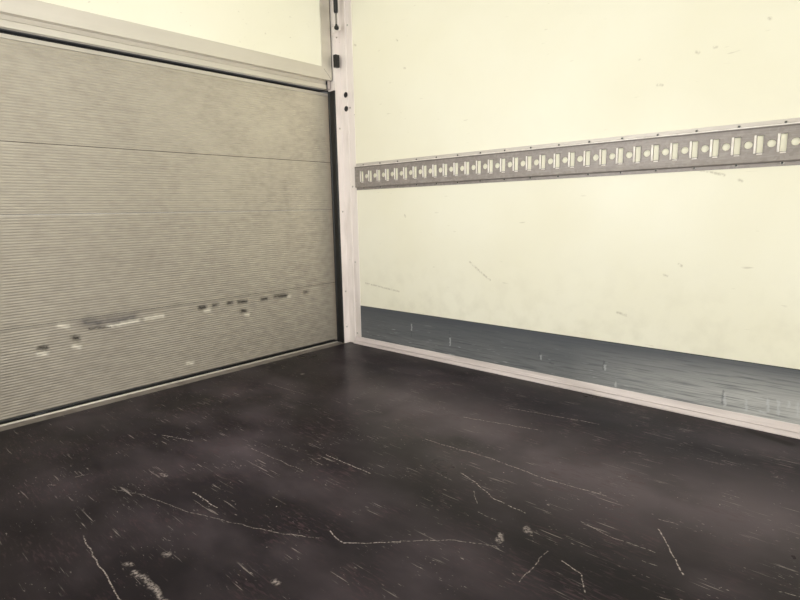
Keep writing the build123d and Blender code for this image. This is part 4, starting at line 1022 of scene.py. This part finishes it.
def makeLiftBolts():
    b = liftBolts
    heads = []
    for y, z in b["plateSpots"]:
        heads.append(turned("sidePlateBolts", b["washer"], (-b["plateX"], y, z), (-1, 0, 0), 20))
        heads.append(turned("boltHead", b["hex"], (-b["plateX"] - b["washer"][-1][0] * mm, y, z), (-1, 0, 0), 6))
    dress(bothSides(joinAll("sidePlateBolts", heads)), "bolt", smooth=0.5)
    caps = [turned("crossTubePinCaps", b["pinCap"], (-b["pinX"], y, z), (-1, 0, 0), 20) for y, z in b["tubePins"]]
    dress(bothSides(joinAll("crossTubePinCaps", caps)), "bolt", smooth=0.5)
    y, headerZ = rearY - b["leaf"] * mm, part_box("rear_header")[0].z
    spots = [(x + side * b["hingeAside"], up) for x in b["hingeXs"] for side in (-1, 1) for up in b["hingeUps"]]
    heads = [turned("hingeBolts", b["hingeBolt"], (x, y, headerZ + up), (0, -1, 0), 6) for x, up in spots]
    dress(joinAll("hingeBolts", heads), "bolt")


powerPack = {
    "coverLow": (4, 4, 4), "coverHigh": (12, 4, 12), "soft": 16, "panelIn": 34, "step": 6, "sunk": 4,
    "lidDown": 92, "lidHigh": 14, "lidShort": 8,
    # latches: in from the ends, back and front from the cover's side, width, and reach below and over the lid's foot
    "latchIn": 100, "latchBack": 9, "latchFront": 1, "latchWide": 26, "latchBelow": 28, "latchOver": 26,
}


def makePowerPack():
    p = powerPack
    low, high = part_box("power_pack")
    cover = addBlock("powerPackCover", low + Vector(p["coverLow"]) * mm, high - Vector(p["coverHigh"]) * mm)
    softenEdges(cover, p["soft"], 3)
    choose(cover, "FACE", lambda at, normal: normal.x > 0.99 or abs(normal.y) > 0.99)
    bpy.ops.mesh.inset(thickness=p["panelIn"] * mm, use_individual=True)
    bpy.ops.mesh.inset(thickness=p["step"] * mm, depth=-p["sunk"] * mm, use_individual=True)
    dress(finishEdit(softenEdges(cover, 1.5)), "plastic", smooth=0.5)
    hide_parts("power_pack")
    top = high.z - p["lidDown"] * mm
    end = (high.x - p["lidShort"] * mm, high.y, top + p["lidHigh"] * mm)
    addStrip("powerPackRim", (low.x, low.y, top), end, 4, "plastic", smooth=0.5, mirrored=False)
    latches = []
    for y in (low.y + p["latchIn"] * mm, high.y - p["latchIn"] * mm):
        half = p["latchWide"] / 2 * mm
        start = (high.x - p["latchBack"] * mm, y - half, top - p["latchBelow"] * mm)
        end = (high.x - p["latchFront"] * mm, y + half, top + p["latchOver"] * mm)
        latch = pushIn(addBlock("powerPackLatches", start, end), lambda at, normal: normal.x > 0.99, 5, -2.5, 0, 0)
        latches.append(softenEdges(latch, 1.4))
    dress(finishEdit(joinAll("powerPackLatches", latches)), "bolt", smooth=0.5)


makeLiftBolts()
makePowerPack()
print("lift bolts and power pack")

# Underrun bars: moulded end caps
barCap = {"thick": 4, "soft": 3.5, "lap": 2, "deep": 75, "high": 100}
low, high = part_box("underrun_bars")
start = (-high.x - barCap["thick"] * mm, low.y, high.z - barCap["high"] * mm)
end = (-high.x + barCap["lap"] * mm, low.y + barCap["deep"] * mm, high.z)
addStrip("underrunCaps", start, end, barCap["soft"], "plastic", segments=3, smooth=0.5)
print("underrun caps")

# Stage: pale floor under the lowered platform, lamps outside, soft lamps inside the closed box
stage = {"floorZ": -0.83, "size": 60, "colour": "#E4E3E0"}
lamps = (
    # name, place, aim, width and length, watts, spread in degrees
    ("keyLamp", (-7, -7, 7), (0, 0, 1), (5, 5), 500, 180),
    ("fillLamp", (8, 3, 6), (0, 0, 1), (5, 5), 250, 180),
    ("roofLamp", (0, -0.9, 2.385), (0, -0.9, 0), (1.1, 2.2), 8, 180),
    ("frontLamp", (0, 2, 0.8), (0, -2, 0.8), (2, 0.9), 53, 180),
    ("sideLamp", (1.04, -1.3, 1.15), (-1.1, -1.35, 0.85), (1.4, 0.9), 11.6, 130),
)
startFresh()
bpy.ops.mesh.primitive_plane_add(size=stage["size"], location=(0, 0, stage["floorZ"]))
ground = settle("studioFloor")
ground.data.materials.append(makePlain("studioFloorPaint", stage["colour"], stage["colour"], 0.8))

for name, spot, aim, size, power, angle in lamps:
    lamp = bpy.data.lights.new(name, "AREA")
    lamp.shape = "RECTANGLE"
    lamp.size, lamp.size_y = size
    lamp.energy = power
    lamp.spread = angle / 180 * pi
    holder = bpy.data.objects.new(name, lamp)
    bpy.context.scene.collection.objects.link(holder)
    holder.location = spot
    holder.rotation_euler = (Vector(aim) - Vector(spot)).to_track_quat("-Z", "Y").to_euler()
    holder.visible_camera = False

world = bpy.data.worlds.new("studioSky")
bpy.context.scene.world = world
world.use_nodes = True
world.node_tree.nodes.clear()
rays = addNode(world, "LightPath", {}, {})
shown = combine(world, *(rays["Is %s Ray" % kind] for kind in ("Camera", "Glossy", "Transmission")), by="MAXIMUM")
seen = addNode(world, "Background", {}, {"Color": linear("#F4F4F2"), "Strength": 1})
lit = addNode(world, "Background", {}, {"Color": linear("#FFFFFF"), "Strength": 0.6})
both = addNode(world, "MixShader", {}, {0: shown, 1: lit[0], 2: seen[0]})
addNode(world, "OutputWorld", {}, {"Surface": both[0]})

# Camera inside the load space, looking at the rear left corner
view = {
    "lens": 24.545,
    "place": (0.92, 0.127, floorTop + 0.7206),
    "right": (-0.67118, 0.74104, -0.01955),
    "up": (-0.13303, -0.09446, 0.98660),
    "back": (0.72926, 0.66479, 0.16198),
}
bpy.ops.object.camera_add(location=view["place"])
camera = bpy.context.object
camera.data.lens = view["lens"]
camera.data.sensor_width = 36
camera.data.clip_start = 0.05
turn = Matrix((view["right"], view["up"], view["back"])).transposed()
camera.matrix_world = Matrix.Translation(view["place"]) @ turn.to_4x4()
bpy.context.scene.camera = camera
bpy.context.scene.view_settings.view_transform = "Standard"
print("stage, lamps and camera placed")
